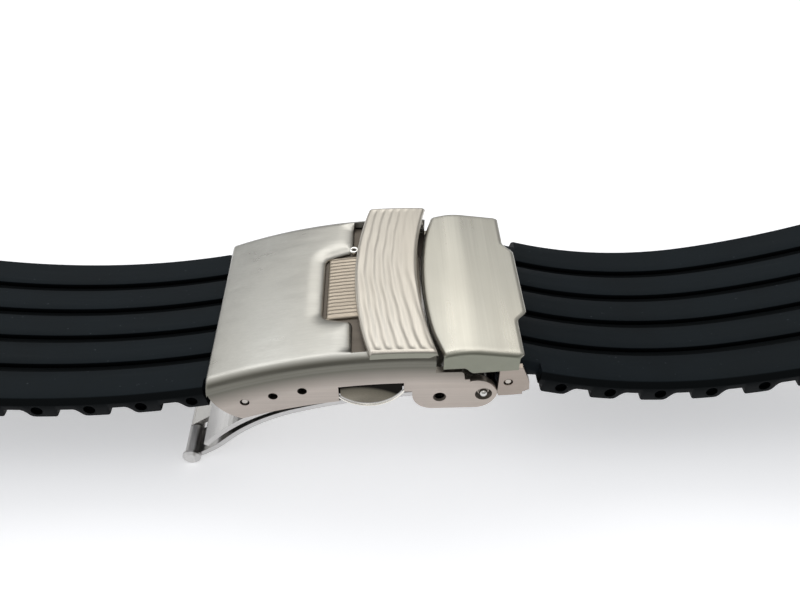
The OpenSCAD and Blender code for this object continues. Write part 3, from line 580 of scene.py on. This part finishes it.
# Darker steel on the bar tips: painted shade of the holes they sit in
SHADED_TIP_STEEL = steel("turned_steel_tip", base=(0.52, 0.49, 0.45), rough=0.3, along=ACROSS, edge=0.05)
POLISHED = polished("polished_steel")
BLADE_STEEL_LIT_BARREL = polished("polished_blade_painted_light", base=(0.62, 0.61, 0.60), rough=0.3, barrel=True)
STUD_STEEL = polished("stud_steel", base=(0.93, 0.92, 0.9), rough=0.1, edge=0.03)
RIM_STEEL = polished("wing_rim_steel", base=(0.86, 0.83, 0.77), rough=0.2, edge=0.03)
SHADED_WING_STEEL = wing_steel("polished_wing_painted_shade")
RUBBER = rubber("black_rubber", base=(0.0060, 0.0083, 0.0101))


def paint(ob, mat):
    ob.data.materials.clear()
    ob.data.materials.append(mat)


# The path of a strap half: (x, z, heading) at each place

def length(stretch):
    return stretch[1] if stretch[0] == 0 else abs(stretch[0]) * math.radians(stretch[1])


def advance(place, stretch, share):
    """Where a share of one stretch leads."""
    x, z, turn = place
    h = math.radians(turn)
    if stretch[0] == 0:
        run = stretch[1] * share
        return x + run * math.cos(h), z + run * math.sin(h), turn
    way, r = math.copysign(1, stretch[0]), abs(stretch[0])
    turn += way * stretch[1] * share
    k = math.radians(turn)
    return x + way * r * (math.sin(k) - math.sin(h)), z - way * r * (math.cos(k) - math.cos(h)), turn


def along(place, path, s):
    """The place at a length s of the path. It goes on past both ends."""
    for i, stretch in enumerate(path):
        if i == len(path) - 1 or s <= length(stretch):
            return advance(place, stretch, s / length(stretch))
        place, s = advance(place, stretch, 1), s - length(stretch)


def start_at(bar, fall):
    """The start of a path, on the strap's underside over its bar in the clasp."""
    a = math.radians(fall)
    return abs(bar[0]) + BAR_DROP * math.sin(a), bar[1] + BAR_DROP * math.cos(a), -fall


def to_floor(start, stretches, lug_z):
    """The path with a last straight stretch, which ends at the height of the watch-end bar."""
    place = start
    for stretch in stretches:
        place = advance(place, stretch, 1)
    h = math.radians(place[2])
    return stretches + [(0, (lug_z + LUG_IN * math.cos(h) - place[1]) / math.sin(h))]


# Strap halves. A station is (length along the path, top, bottom, half width, share of the grooves' depth).

def section(half, top, bottom, groove):
    """Points (y, height) of one ring: the ribbed top from side to side, then the flat underside."""
    depth = min(BEVEL_DEPTH, (top - bottom) * 0.45)
    out = [(q - half, top - depth * d) for q, d in reversed(BEVEL_LINE)]
    last = BEVEL - half
    for g in GROOVES:
        out += [(last + (g - GROOVE_HALF - last) * f, top) for f in RIB_STEPS]
        out += [(g - q, top - d * groove) for q, d in GROOVE_LINE]
        out += [(g + q, top - d * groove) for q, d in reversed(GROOVE_LINE)]
        last = g + GROOVE_HALF
    out += [(last + (half - BEVEL - last) * f, top) for f in RIB_STEPS]
    out += [(half - q, top - depth * d) for q, d in BEVEL_LINE]
    c = min(0.22, (top - bottom) * 0.2)
    corner = [(half, (top + bottom) / 2), (half, bottom + c), (half - 0.07, bottom + c * 0.3)]
    corner.append((half - 0.25, bottom))
    out += corner + [(half * f, bottom) for f in UNDER_STEPS]
    return out + [(-y, n) for y, n in reversed(corner)]


def swell(u):
    """An S-curve from 0, which runs on past 1."""
    return 0.0 if u <= 0 else u * u * (3 - 2 * u)


def bead_stations():
    """The bead round the clasp-end bar, from a small first ring on, and the way to the flat strap."""
    out = []
    for i in range(9):
        a = math.pi * i / 16
        s = -BEAD_R * math.cos(a)
        half = BEAD_R * math.sin(a) if i else 0.12
        u = (s + BEAD_R) / BEAD_R
        top = -BAR_DROP + half + swell(min(u * 1.15, 1)) * (BAND_T + BAR_DROP - BEAD_R)
        at = s if i else 0.004 - BEAD_R
        out.append((at, min(top, BAND_T - 0.02), -BAR_DROP - half, TONGUE_HALF, swell(u) * 0.8))
    for s in (0.5, 1.0, 1.5, 2.0, BEAD_RUN):
        low = -BAR_DROP - math.sqrt(max(BEAD_R ** 2 - s * s, 0))
        out.append((s, BAND_T, low * (1 - swell(s / BEAD_RUN)), TONGUE_HALF, 1.0))
    return out


def lug_stations(total):
    """The round watch end, which closes with a small ring."""
    out = []
    for a in np.radians(np.arange(9, 90, 9)):
        h = LUG_R * math.cos(a)
        out.append((total + LUG_R * math.sin(a), -LUG_IN + h, -LUG_IN - h, STRAP_HALF, 0.0))
    return out + [(total + LUG_R - 0.01, -LUG_IN + 0.15, -LUG_IN - 0.15, STRAP_HALF, 0.0)]


def strap_stations(total, tongue):
    """All stations of a half of one length, narrow up to the tongue's end and toothed underneath."""
    marks = [(k * PITCH + ds, low) for k in range(1, TEETH + 1) for ds, low in TOOTH_LINE]
    for s in np.linspace(TEETH * PITCH + 2.6, total, 25):
        marks.append((s, -swell((s - total + TAPER) / TAPER) * (LUG_IN + LUG_R - 0.04)))
    narrow = [(s, low) for s, low in marks if s <= tongue]
    step = narrow[-1][1] if narrow else 0.0
    out = bead_stations() + [(tongue - 0.1, BAND_T, 0, TONGUE_HALF, 1.0)]
    out += [(s, BAND_T, low, TONGUE_HALF, 1.0) for s, low in narrow + [(tongue, step)]]
    out += [(tongue + d, BAND_T, step, STRAP_HALF, 1.0) for d in (0.01, 0.06)]
    for s, low in marks[len(narrow):]:
        out.append((s, BAND_T, low, STRAP_HALF, 1.0 - swell((s - total + 3.2) / 3.0)))
    return sorted(out + lug_stations(total), key=lambda q: q[0])


def strap(name, bar, lug, fall, stretches, tongue):
    """One strap half from its bar in the clasp to its bar at the watch."""
    side = math.copysign(1, bar[0])
    start = start_at(bar, fall)
    path = to_floor(start, stretches, lug[1])
    rows = []
    for s, top, bottom, half, groove in strap_stations(sum(length(q) for q in path), tongue):
        x, z, turn = along(start, path, s)
        h = math.radians(turn)
        rows.append([part(side * (x - off * math.sin(h)), y, z + off * math.cos(h))
                     for y, off in section(half, top, bottom, groove)])
    ob = grid(name, rows, closed=True, caps=True)
    tools = []
    for k in range(1, TEETH + 1):
        x, z, _ = along(start, path, k * PITCH)
        tools.append(rod("hole", (side * x, z), SIDE_HOLE_R, -HOLE_HALF, HOLE_HALF, 20))
    tools += [rod("hole", p, BAR_HOLE_R, -HOLE_HALF, HOLE_HALF, 28) for p in (bar, lug)]
    cut(ob, join(*tools))
    shade(ob, 40)
    paint(ob, RUBBER)
    return ob


left = strap("rubber_left", BAR_A, LUG_A, FALL_LEFT, STRETCHES_LEFT, TONGUE_LEFT)
right = strap("rubber_right", BAR_B, LUG_B, FALL_RIGHT, STRETCHES_RIGHT, TONGUE_RIGHT)
for ob, node, body in ((left, "strap_half_left", "strap_left"), (right, "strap_half_right", "strap_right")):
    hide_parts(node)
    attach(ob, body)


# The cover of the clasp

def cover_rim():
    """The right edge of the cover's top in plan, from the middle of the strap to its side: (y, x)."""
    pts = [(y, RECESS_BACK) for y in (0, 0.8, 1.6, 2.4, 3.2, 3.8)]
    r = RECESS_ROUND
    for a in np.radians(np.arange(0, 76, 7.5)):
        pts.append((RECESS_HALF + r * math.sin(a), RECESS_BACK + r * (1 - math.cos(a))))
    y0, x0 = pts[-1]
    dy, dx = LIP_ROUND
    pts += [(y0 + (LIP_Y - dy - y0) * f, x0 + (LIP - 0.75 - x0) * f) for f in (0.2, 0.4, 0.6, 0.8)]
    pts += [(LIP_Y - dy * math.cos(a), LIP - dx + dx * math.sin(a)) for a in np.radians(np.arange(0, 91, 9))]
    return pts + [(y, LIP) for y in (6.8, 7.6, 8.4, 9.2, 9.8, 10.1, 10.3, SKIN_HALF)]


def cover_stations(right):
    """Places along the cover up to its right edge, close together where it bends."""
    a = [COVER_LEFT + LEFT_ROUND * (1 - math.cos(t)) for t in np.radians(np.arange(0, 91, 15))]
    bend = 2.6
    middle = np.linspace(COVER_LEFT + LEFT_ROUND, right - bend, 30)[1:]
    return a + list(middle) + [right - bend * (1 - q) ** 1.9 for q in np.linspace(0, 1, 22)[1:]]


def cover_top():
    """The arched top with its edge round the recess, and the two shoulders, which run on to the right."""
    rim = cover_rim()
    full = [(-y, x) for y, x in reversed(rim)] + rim[1:]
    line = np.array([(x0 + (x1 - x0) * f, y0 + (y1 - y0) * f) for (y0, x0), (y1, x1) in zip(full, full[1:])
                     for f in np.linspace(0, 1, 6, endpoint=False)])

    def radius(x, y):
        """How far the outside lies from the arch's centre at one place."""
        a = abs(y)
        r = ARCH_R
        if a > FLAT_HALF:
            r += SHOULDER * (math.sqrt(1 - min((a - FLAT_HALF) / SHOULDER, 1.0) ** 2) - 1)
        d = float(np.min(np.hypot(line[:, 0] - x, line[:, 1] - y)))
        r -= edge_drop(d, RIM, RIM_DROP) * (1 - smooth((a - 9.7) / 0.75))
        return r - edge_drop(x - COVER_LEFT, LEFT_ROUND, LEFT_DROP)

    grids = [[[part(x, y, arch_z(x, radius(x, y))) for x in cover_stations(right)] for y, right in full]]
    xs = cover_stations(LIP)
    xs += list(np.linspace(xs[-1], WALL_RIGHT, 16))[1:]
    turns = np.radians(SHOULDER_TURN)
    low = ARCH_R - SHOULDER
    edge = [(FLAT_HALF + SHOULDER * math.sin(t), low + SHOULDER * math.cos(t)) for t in turns]
    edge += [(COVER_HALF, low - 0.1), (COVER_HALF, low - 0.2)]
    for side in (-1, 1):
        strip = [[part(x, side * SKIN_HALF, arch_z(x, radius(min(x, LIP), SKIN_HALF))) for x in xs]]
        for y, r in edge:
            strip.append([part(x, side * y, arch_z(x, r - edge_drop(x - COVER_LEFT, LEFT_ROUND, LEFT_DROP)))
                          for x in xs])
        grids.append(strip)
    ob = sheet("cover_skin", *grids)
    upwards(ob)
    apply(ob, "SOLIDIFY", thickness=COVER_T * MM, offset=-1.0, use_even_offset=False)
    shade(ob, 38)
    return ob


def adjust_hole(i):
    """One of the three holes for the left bar, spaced along an arc round the arch's centre."""
    r = math.hypot(BAR_A[0] - ARCH_C[0], BAR_A[1] - ARCH_C[1])
    a = math.atan2(BAR_A[1] - ARCH_C[1], BAR_A[0] - ARCH_C[0]) - i * ADJUST_STEP / r
    return ARCH_C[0] + r * math.cos(a), ARCH_C[1] + r * math.sin(a)


def wall_outline():
    """A side wall in (x, z): the top, the ear with the rivet, the window's edge, the heel, the left end."""
    near, far = (EAR_NEAR, RIVET[1]), (EAR_FAR, RIVET[1])
    pts = [(x, arch_z(x, WALL_TOP_R)) for x in np.linspace(WALL_LEFT, WALL_RIGHT, 60)]
    pts += [(WALL_RIGHT, 7.3)] + arc_pts((7.35, 6.9), 0.4, 90, 0, 6)
    pts += [(7.85, EAR_TOP), (RIVET[0] - 1.5, EAR_TOP)]
    pts += arc_pts(far, EAR_R, 110, 22.97, 10) + arc_pts(RIVET, NOSE_R, 36.35, -36.35, 8)
    pts += arc_pts(far, EAR_R, -22.97, -90, 8) + arc_pts(near, EAR_R, -90, -180, 10)
    pts += [(x, arch_z(x, WALL_LOW_R)) for x in (EAR_LEFT, WINDOW_RIGHT + 0.13)]
    pts += [(WINDOW_RIGHT, arch_z(WINDOW_RIGHT, WALL_LOW_R) + 0.15)]
    pts += [(x, arch_z(x, WINDOW_R)) for x in np.linspace(WINDOW_RIGHT, WINDOW_LEFT, 14)]
    pts += [(x, arch_z(x, HEEL_R)) for x in np.linspace(WINDOW_LEFT, HEEL_LEFT, 22)]
    return pts + arc_pts((-12.7, 5.65), 5.2, 246, 191.5, 14)


def countersink(side, c, outer, inner, depth):
    """The cone to cut out of a wall's outside, from one radius to a smaller one."""
    rings = [[part(x, side * y, z) for x, z in circle(c, r, 40)]
             for y, r in ((COVER_HALF + 0.02, outer + 0.02), (COVER_HALF - depth, inner - 0.01))]
    return grid("t", rings, closed=True, caps=True)


def cover_wall(side):
    """One side wall, with painted shade inside its holes."""
    ob = prism("wall", wall_outline(), side * WALL_IN, side * (COVER_HALF - 0.006))
    adjust = [adjust_hole(i) for i in range(ADJUST_HOLES)]
    y0, y1 = side * WALL_TOOL[0], side * WALL_TOOL[1]
    tools = [rod("t", c, ADJUST_R, y0, y1, 28) for c in adjust]
    tools += [rod("t", EAR_HOLE, EAR_HOLE_R, y0, y1, 28), rod("t", RIVET, RIVET_HOLE_R, y0, y1, 32)]
    tools += [countersink(side, *c) for c in COUNTERSINKS]
    for t in tools:
        cut(ob, t)
    soften(ob, 0.07, 2, 40)
    shade(ob, 40)
    apply(ob, "WEIGHTED_NORMAL", keep_sharp=True, weight=50)
    paint(ob, SHADED_WALL_STEEL)
    ob.data.materials.append(RECESS_SHADE)
    # A face that slants and lies this near to a hole's middle is inside the hole, and gets painted shade.
    holes = [(c, 0.5) for c in adjust] + [(EAR_HOLE, 0.74), (RIVET, 0.9)]
    for p in ob.data.polygons:
        for c, r in holes:
            away = math.hypot(p.center.x / MM - FX - c[0], p.center.z / MM - FZ - c[1])
            if away < r and abs(p.normal.y) < 0.97:
                p.material_index = 1
    return ob


def cover():
    skin = cover_top()
    paint(skin, SATIN_COVER)
    ob = join(skin, cover_wall(-1), cover_wall(1))
    ob.name = "cover"
    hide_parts("cover_shell")
    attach(ob, "cover")


cover()


def hinge_lugs():
    """The flap's two lugs, which stand inside the walls of the cover."""
    out = []
    for side in (-1, 1):
        pts = [(5.62, 5.2), (7.62, 5.2)] + arc_pts((7.27, 6.95), 0.35, 0, 90, 6)
        pts += arc_pts(FLAP_PIVOT, 0.48, -40, 220, 16) + arc_pts((5.97, 6.95), 0.35, 90, 180, 6)
        ob = prism("lug", pts, side * FLAP_LUG[0], side * FLAP_LUG[1])
        soften(ob, 0.12, 3, 50)
        out.append(ob)
    ob = join(*out)
    ob.name = "flap_hinge_lugs"
    shade(ob, 40)
    paint(ob, POLISHED)
    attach(ob, "cover")


hinge_lugs()


def plate():
    """The plate under the recess and the band, with a notch at each of the band's lugs."""
    ys, xs = np.linspace(-PLATE_HALF, PLATE_HALF, 12), np.linspace(PLATE_LEFT, PLATE_RIGHT, 24)
    faces = [[[part(x, y, arch_z(x, r)) for x in xs] for y in ys] for r in (PLATE_R, PLATE_R - PLATE_T)]
    ob = closed("bridge", *faces)
    for y0, y1 in ((-11, -9.5), (9.5, 11)):
        cut(ob, prism("t", [(3.2, 7), (6, 7), (6, 11), (3.2, 11)], y0, y1))
    # Painted shade on the plate under the recess and the band
    paint(ob, SHADED_PLATE_STEEL)
    return ob


def grip():
    """The raised pad on the plate, with fine ribs along the strap."""
    rows, under = [], []
    xs = GRIP_LEFT + (GRIP_RIGHT - GRIP_LEFT) * np.array(GRIP_STEPS)
    for y in np.linspace(-GRIP_HALF, GRIP_HALF, 12 * GRIP_RIBS + 1):
        row = []
        for x in xs:
            side, end = GRIP_HALF - abs(y), x - GRIP_LEFT
            corner = math.hypot(max(0, GRIP_ROUND - side), max(0, GRIP_ROUND - end))
            rib = 0.04 * (0.5 - 0.5 * math.cos(2 * math.pi * (y / (2 * GRIP_HALF) * GRIP_RIBS + 0.5)))
            rib += 0.01 * math.sin(x * 9 + y * 5) + 0.008 * math.sin(x * 23 - y * 11)
            drop = edge_drop(GRIP_ROUND - corner if corner > 0 else min(side, end), 0.22, 0.2)
            row.append(part(x, y, arch_z(x, GRIP_R + rib * smooth(min(side, end) / 0.35) - drop)))
        rows.append(row)
        under.append([part(x, y, arch_z(x, PLATE_R - 0.1)) for x in xs])
    ob = closed("grip", rows, under)
    paint(ob, SATIN_GRIP)
    return ob


def bridge():
    ob = join(plate(), grip())
    ob.name = "bridge"
    shade(ob, 40)
    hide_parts("bridge_plate")
    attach(ob, "cover")


bridge()


def stud():
    """The small hollow stud beside the recess, with painted shade in its hollow."""
    rim = [(0.38 + 0.16 * math.cos(a), 0.52 + 0.16 * math.sin(a)) for a in np.radians(np.arange(0, 181, 15))]
    rows = [[part(x, y, STUD[2] + h) for x, y in circle(STUD, r, 40)]
            for r, h in [(0.54, 0.0)] + rim + [(0.19, 0.42), (0.02, 0.40)]]
    ob = grid("stud", rows, closed=True, caps=True)
    shade(ob, 50)
    paint(ob, STUD_STEEL)
    ob.data.materials.append(RECESS_SHADE)
    # Painted shade in the stud's hollow centre
    for p in ob.data.polygons:
        if math.hypot(p.center.x / MM - FX - STUD[0], p.center.y / MM - STUD[1]) < 0.21:
            p.material_index = 1
    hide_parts("detent_stud")
    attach(ob, "cover")


stud()


def wing_rim(side):
    """The rolled lower rim of one pull wing, thinner towards its ends."""
    rows = []
    for a in np.radians(np.arange(206, 335, 3)):
        thick = 0.2 * (0.55 + 0.45 * math.sin(math.pi * (math.degrees(a) - 206) / 128))
        row = []
        for b in np.radians(np.arange(0, 360, 36)):
            r = WING_RIM_R + thick * math.cos(b)
            row.append(part(WING_RIM[0] + r * math.cos(a), side * (WING_RIM_Y + thick * math.sin(b)),
                            WING_RIM[1] + r * math.sin(a)))
        rows.append(row)
    return grid("rim", rows, closed=True, caps=True)


def wing_rims():
    ob = join(wing_rim(-1), wing_rim(1))
    ob.name = "pull_wing_rims"
    shade(ob, 60)
    paint(ob, RIM_STEEL)
    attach(ob, "middle_blade")


wing_rims()


# The safety band

def band_left(y):
    """The edge over the recess, curved a little in plan."""
    return BAND_LEFT + BAND_LEFT_R - math.sqrt(BAND_LEFT_R ** 2 - y * y)


def band_right(y):
    """The edge beside the flap, curved in the same way."""
    return BAND_RIGHT + BAND_RIGHT_R - math.sqrt(BAND_RIGHT_R ** 2 - y * y)


def band_wave(u, y, span):
    """How far the waved top lies under BAND_TOP_R at a share u of its run, deeper at the near side."""
    drift = 0.012 * math.sin(y * 0.55 + 1.0) + 0.006 * math.sin(y * 1.3 + u * 9)
    far = smooth((y + 12) / 22)
    phase = (u * (1 + 0.2 * far) + drift) * BAND_WAVES
    valley = abs(math.cos(math.pi * phase)) ** (2.2 + 1.2 * far)
    lean = 0.5 - 0.5 * math.cos(2 * math.pi * phase + 1.2)
    w = (0.075 * valley + 0.035 * (1 - lean)) * (1 - 0.5 * far) * (1 - 0.8 * far * smooth((u - 0.55) / 0.35))
    return w * smooth(min(u, 1 - u) * span / 0.45) * (1 - smooth((abs(y) - 10.9) / 0.5))


def band_skin():
    """The waved plate, rounded over at its edges and relieved underneath beside the flap."""
    rows, under = [], []
    end = [BAND_HALF - 0.4 * (1 - math.cos(t)) for t in np.radians(np.arange(0, 91, 11.25))]
    ys = sorted({round(v, 5) for v in end + [-v for v in end] + list(np.linspace(-11.25, 11.25, 76))})
    near_edges = [0.006, 0.015, 0.03, 0.97, 0.985, 0.994]
    us = sorted({round(v, 5) for v in list(np.linspace(0, 1, 120)) + near_edges})
    for y in ys:
        x0, x1 = band_left(y), band_right(y)
        row, low = [], []
        for u in us:
            x = x0 + (x1 - x0) * u
            drop = edge_drop(min(x - x0, x1 - x), 0.42, 0.36) + edge_drop(BAND_HALF - abs(y), 0.4, 0.32)
            row.append(part(x, y, arch_z(x, BAND_TOP_R - band_wave(u, y, x1 - x0) - drop)))
            low.append(part(x, y, arch_z(x, BAND_LOW_R) + 0.4 * smooth((x - 4.1) / 0.9)))
        rows.append(row)
        under.append(low)
    return closed("band_skin", rows, under)


def safety_band():
    ob = band_skin()
    lugs = []
    for side in (-1, 1):
        pts = arc_pts(BAND_PIVOT, 0.36, 180, 360, 12) + [(4.7, 9.5), (3.9, 9.86)]
        lug = prism("lug", pts, side * BAND_LUG[0], side * BAND_LUG[1])
        soften(lug, 0.05, 2, 50)
        lugs.append(lug)
    ob = join(ob, *lugs)
    ob.name = "band"
    shade(ob, 42)
    paint(ob, SATIN_BAND)
    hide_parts("safety_band")
    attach(ob, "safety_band")


safety_band()


# The flap with its thumb tab

def flap_z(x):
    """The flap's top: a rise, a broad crest and a fall."""
    px, pz = CREST
    up, down = math.radians(CREST_RISE), math.radians(CREST_FALL)
    t = CREST_R * math.tan((up + down) / 2)
    xa, xb = px - t * math.cos(up), px + t * math.cos(down)
    cx, cz = xa + CREST_R * math.sin(up), pz - t * math.sin(up) - CREST_R * math.cos(up)
    if x < xa:
        return pz + (x - px) * math.tan(up)
    if x > xb:
        return pz - (x - px) * math.tan(down)
    return cz + math.sqrt(CREST_R ** 2 - (x - cx) ** 2)


def flap_left(y):
    """The edge beside the band, with a gap that widens towards the sides."""
    return band_right(min(abs(y), 11.2)) + FLAP_GAP + 0.25 * smooth((abs(y) - 7) / 4)


def flap_right(y):
    """The free edge, with the thumb tab in the middle and a round corner at each side."""
    tab = TAB_OUT * (1 - smooth((abs(y) - TAB_HALF) / 1.7))
    return FLAP_END + tab - 0.45 * smooth((abs(y) - 10.75) / 0.55) ** 2


def flap_bottom(x):
    """The lower edge of a flange: nearly level over the cover's wall, then a step down and a slow rise."""
    if x <= 7.7:
        return 7.70 + 0.04 * (x - 7.7)
    return 7.70 - 0.64 * smooth(x - 7.7) + 0.075 * max(x - 8.7, 0)


def flap_top(y, drop):
    """A row of places along the strap on the flap's top, whose two ends are rounded over."""
    bend, ends = 0.075, np.radians(np.arange(0, 91, 11.25))
    shares = np.concatenate([bend * (1 - np.cos(ends)), np.linspace(bend, 1 - bend, 56)[1:],
                             1 - bend * np.cos(ends[::-1])[1:]])
    x0, x1 = flap_left(y), flap_right(y)
    row = []
    for x in x0 + (x1 - x0) * np.clip(np.sort(shares), 0, 1):
        left_drop = edge_drop(x - x0, 0.5, 0.38) * (1 - 0.5 * smooth(drop))
        right_drop = edge_drop(x1 - x, 0.6, 0.42) * (1 - 0.4 * smooth(drop))
        row.append((x, y, flap_z(x) - drop - left_drop - right_drop))
    return row


def flap_flange(edge, side):
    """Rows from the top's side edge down to the flange's lower edge, with a lip that turns out a little."""
    rows = []
    for f in (0.25, 0.5, 0.75, 0.9, 1.0):
        lip = side * 0.06 * smooth((f - 0.7) / 0.3)
        rows.append([(x, y + (lip if x > 8.2 else 0.0), z + (min(flap_bottom(x), z - 0.02) - z) * f)
                     for x, y, z in edge])
    return rows


def lock_flap():
    flat = FLAP_HALF - FLAP_CORNER
    half = [(y, 0.0) for y in np.linspace(0, flat, 34)]
    for t in np.radians(np.arange(10, 91, 10)):
        half.append((flat + FLAP_CORNER * math.sin(t), FLAP_CORNER * (1 - math.cos(t))))
    rows = [flap_top(y, drop) for y, drop in [(-y, d) for y, d in reversed(half)] + half[1:]]
    rows = flap_flange(rows[0], -1)[::-1] + rows + flap_flange(rows[-1], 1)
    ob = sheet("flap", [[part(*q) for q in row] for row in rows])
    upwards(ob)
    apply(ob, "SOLIDIFY", thickness=FLAP_T * MM, offset=-1.0, use_even_offset=False)
    soften(ob, 0.08, 2, 50)
    shade(ob, 42)
    paint(ob, SATIN_FLAP)
    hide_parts("lock_flap")
    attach(ob, "lock_flap")


lock_flap()


# The solids that stay as they are

LOOKS = {
    "end_piece": SHADED_END_STEEL,
    "middle_blade": SHADED_WING_STEEL,
    "lower_blade": BLADE_STEEL_LIT_BARREL,
    "barrel_pin": BLADE_STEEL_LIT_BARREL,
}
for name, ob in NODES.items():
    if ob.hide_render:
        continue
    paint(ob, SHADED_TIP_STEEL if "_tip_" in name else LOOKS.get(name, POLISHED))
    if not name.endswith("_spring"):
        shade(ob, 25)


# Floor, light and camera

def pale_floor():
    """Pale and matt, and brighter to the camera and in reflections than its light alone makes it."""
    m = Nodes("pale_floor")
    m.bsdf.inputs["Roughness"].default_value = 0.9
    speck = m.noise(m.coords, 6.0, 3, 0.5)
    col = m.mix(m.span(speck, 0.3, 0.7), (0.86, 0.86, 0.865), (0.885, 0.885, 0.89))
    m.link(col, m.bsdf.inputs["Base Color"])
    ray = m.tree.nodes.new("ShaderNodeLightPath").outputs
    seen = m.math("MAXIMUM", ray["Is Glossy Ray"], ray["Is Transmission Ray"])
    seen = m.math("MAXIMUM", ray["Is Camera Ray"], seen)
    glow = m.tree.nodes.new("ShaderNodeEmission")
    glow.inputs[0].default_value = (1, 1, 1, 1)
    m.link(m.math("MULTIPLY", seen, 0.40), glow.inputs[1])
    both = m.tree.nodes.new("ShaderNodeAddShader")
    m.link(m.bsdf.outputs[0], both.inputs[0])
    m.link(glow.outputs[0], both.inputs[1])
    m.link(both.outputs[0], m.out.inputs[0])
    return m.mat


bpy.ops.mesh.primitive_plane_add(size=3.0, location=(0, 0.6, 0))
floor = bpy.context.object
floor.name = "floor"
paint(floor, pale_floor())

world = bpy.data.worlds.new("studio")
bpy.context.scene.world = world
world.use_nodes = True
world.node_tree.nodes.clear()


def world_node(kind, *values, **settings):
    """The outputs of a new node of the world. Its inputs are numbers or other nodes' outputs."""
    n = world.node_tree.nodes.new("ShaderNode" + kind)
    for k, v in settings.items():
        setattr(n, k, v)
    for i, v in enumerate(values):
        if isinstance(v, bpy.types.NodeSocket):
            world.node_tree.links.new(v, n.inputs[i])
        else:
            n.inputs[i].default_value = v
    return n.outputs


def fade(value, start, end, a, b):
    """Goes smoothly from a to b while a value goes from start to end."""
    return world_node("MapRange", value, start, end, a, b, interpolation_type="SMOOTHSTEP")[0]


def studio():
    """White to the camera and even light for matt surfaces. Reflections see a sky that is bright high up
    and behind, darker on the right and brighter again at the far left."""
    way = world_node("SeparateXYZ", world_node("TexCoord")["Generated"])
    rise = fade(way[2], 0.30, 0.86, 0.0, 1.0)
    back = fade(way[1], -0.75, 0.25, 0.55, 1.0)
    middle = fade(way[0], -0.05, 0.5, 1.0, 0.62)
    far_left = fade(way[0], -0.95, -0.45, 0.5, 0.0)
    level = world_node("Math", rise, back, operation="MULTIPLY")[0]
    level = world_node("Math", level, middle, operation="MULTIPLY")[0]
    level = world_node("Math", level, 0.64, 0.36, operation="MULTIPLY_ADD")[0]
    level = world_node("Math", level, far_left, operation="ADD", use_clamp=True)[0]
    ray = world_node("LightPath")
    mirrored = world_node("Math", ray["Is Glossy Ray"], ray["Is Transmission Ray"], operation="MAXIMUM")[0]
    soft = world_node("Background", (0.93, 0.95, 1.0, 1), 0.62)[0]
    white = world_node("Background", (1, 1, 1, 1), 1.0)[0]
    sky = world_node("Background", (1, 0.995, 0.97, 1), level)[0]
    lit = world_node("MixShader", ray["Is Camera Ray"], soft, white)[0]
    world_node("OutputWorld", world_node("MixShader", mirrored, lit, sky)[0])


studio()


def lamp(name, place, aim, size, watts, colour):
    data = bpy.data.lights.new(name, "AREA")
    data.shape = "RECTANGLE"
    data.size, data.size_y = size
    data.energy = watts
    data.color = colour
    ob = bpy.data.objects.new(name, data)
    bpy.context.scene.collection.objects.link(ob)
    ob.location = place
    ob.rotation_euler = (Vector(aim) - Vector(place)).to_track_quat("-Z", "Y").to_euler()


lamp("key", (0.05, 0.42, 0.62), (0.0, 0.0, 0.0), (0.60, 0.42), 0.95, (1.0, 0.99, 0.965))
lamp("top", (0.10, -0.05, 0.72), (0.0, 0.0, 0.0), (0.50, 0.30), 0.55, (1.0, 0.98, 0.95))
lamp("side", (-0.42, 0.36, 0.55), (0.0, 0.0, 0.01), (0.40, 0.40), 0.6, (0.97, 0.99, 1.0))

# The camera was fitted to the photograph's straight edges.
CAMERA = (0.0, -60.4, 62.26)
LOOK_DOWN, LOOK_RIGHT = 42.67, 1.66
cam_data = bpy.data.cameras.new("camera")
cam_data.lens = 33.75
cam_data.sensor_width = 36.0
cam_data.clip_start = 0.005
cam = bpy.data.objects.new("camera", cam_data)
bpy.context.scene.collection.objects.link(cam)
cam.location = part(*CAMERA)
cam.rotation_euler = (math.radians(90 - LOOK_DOWN), 0.0, math.radians(-LOOK_RIGHT))
bpy.context.scene.camera = cam
bpy.context.scene.view_settings.view_transform = "Standard"
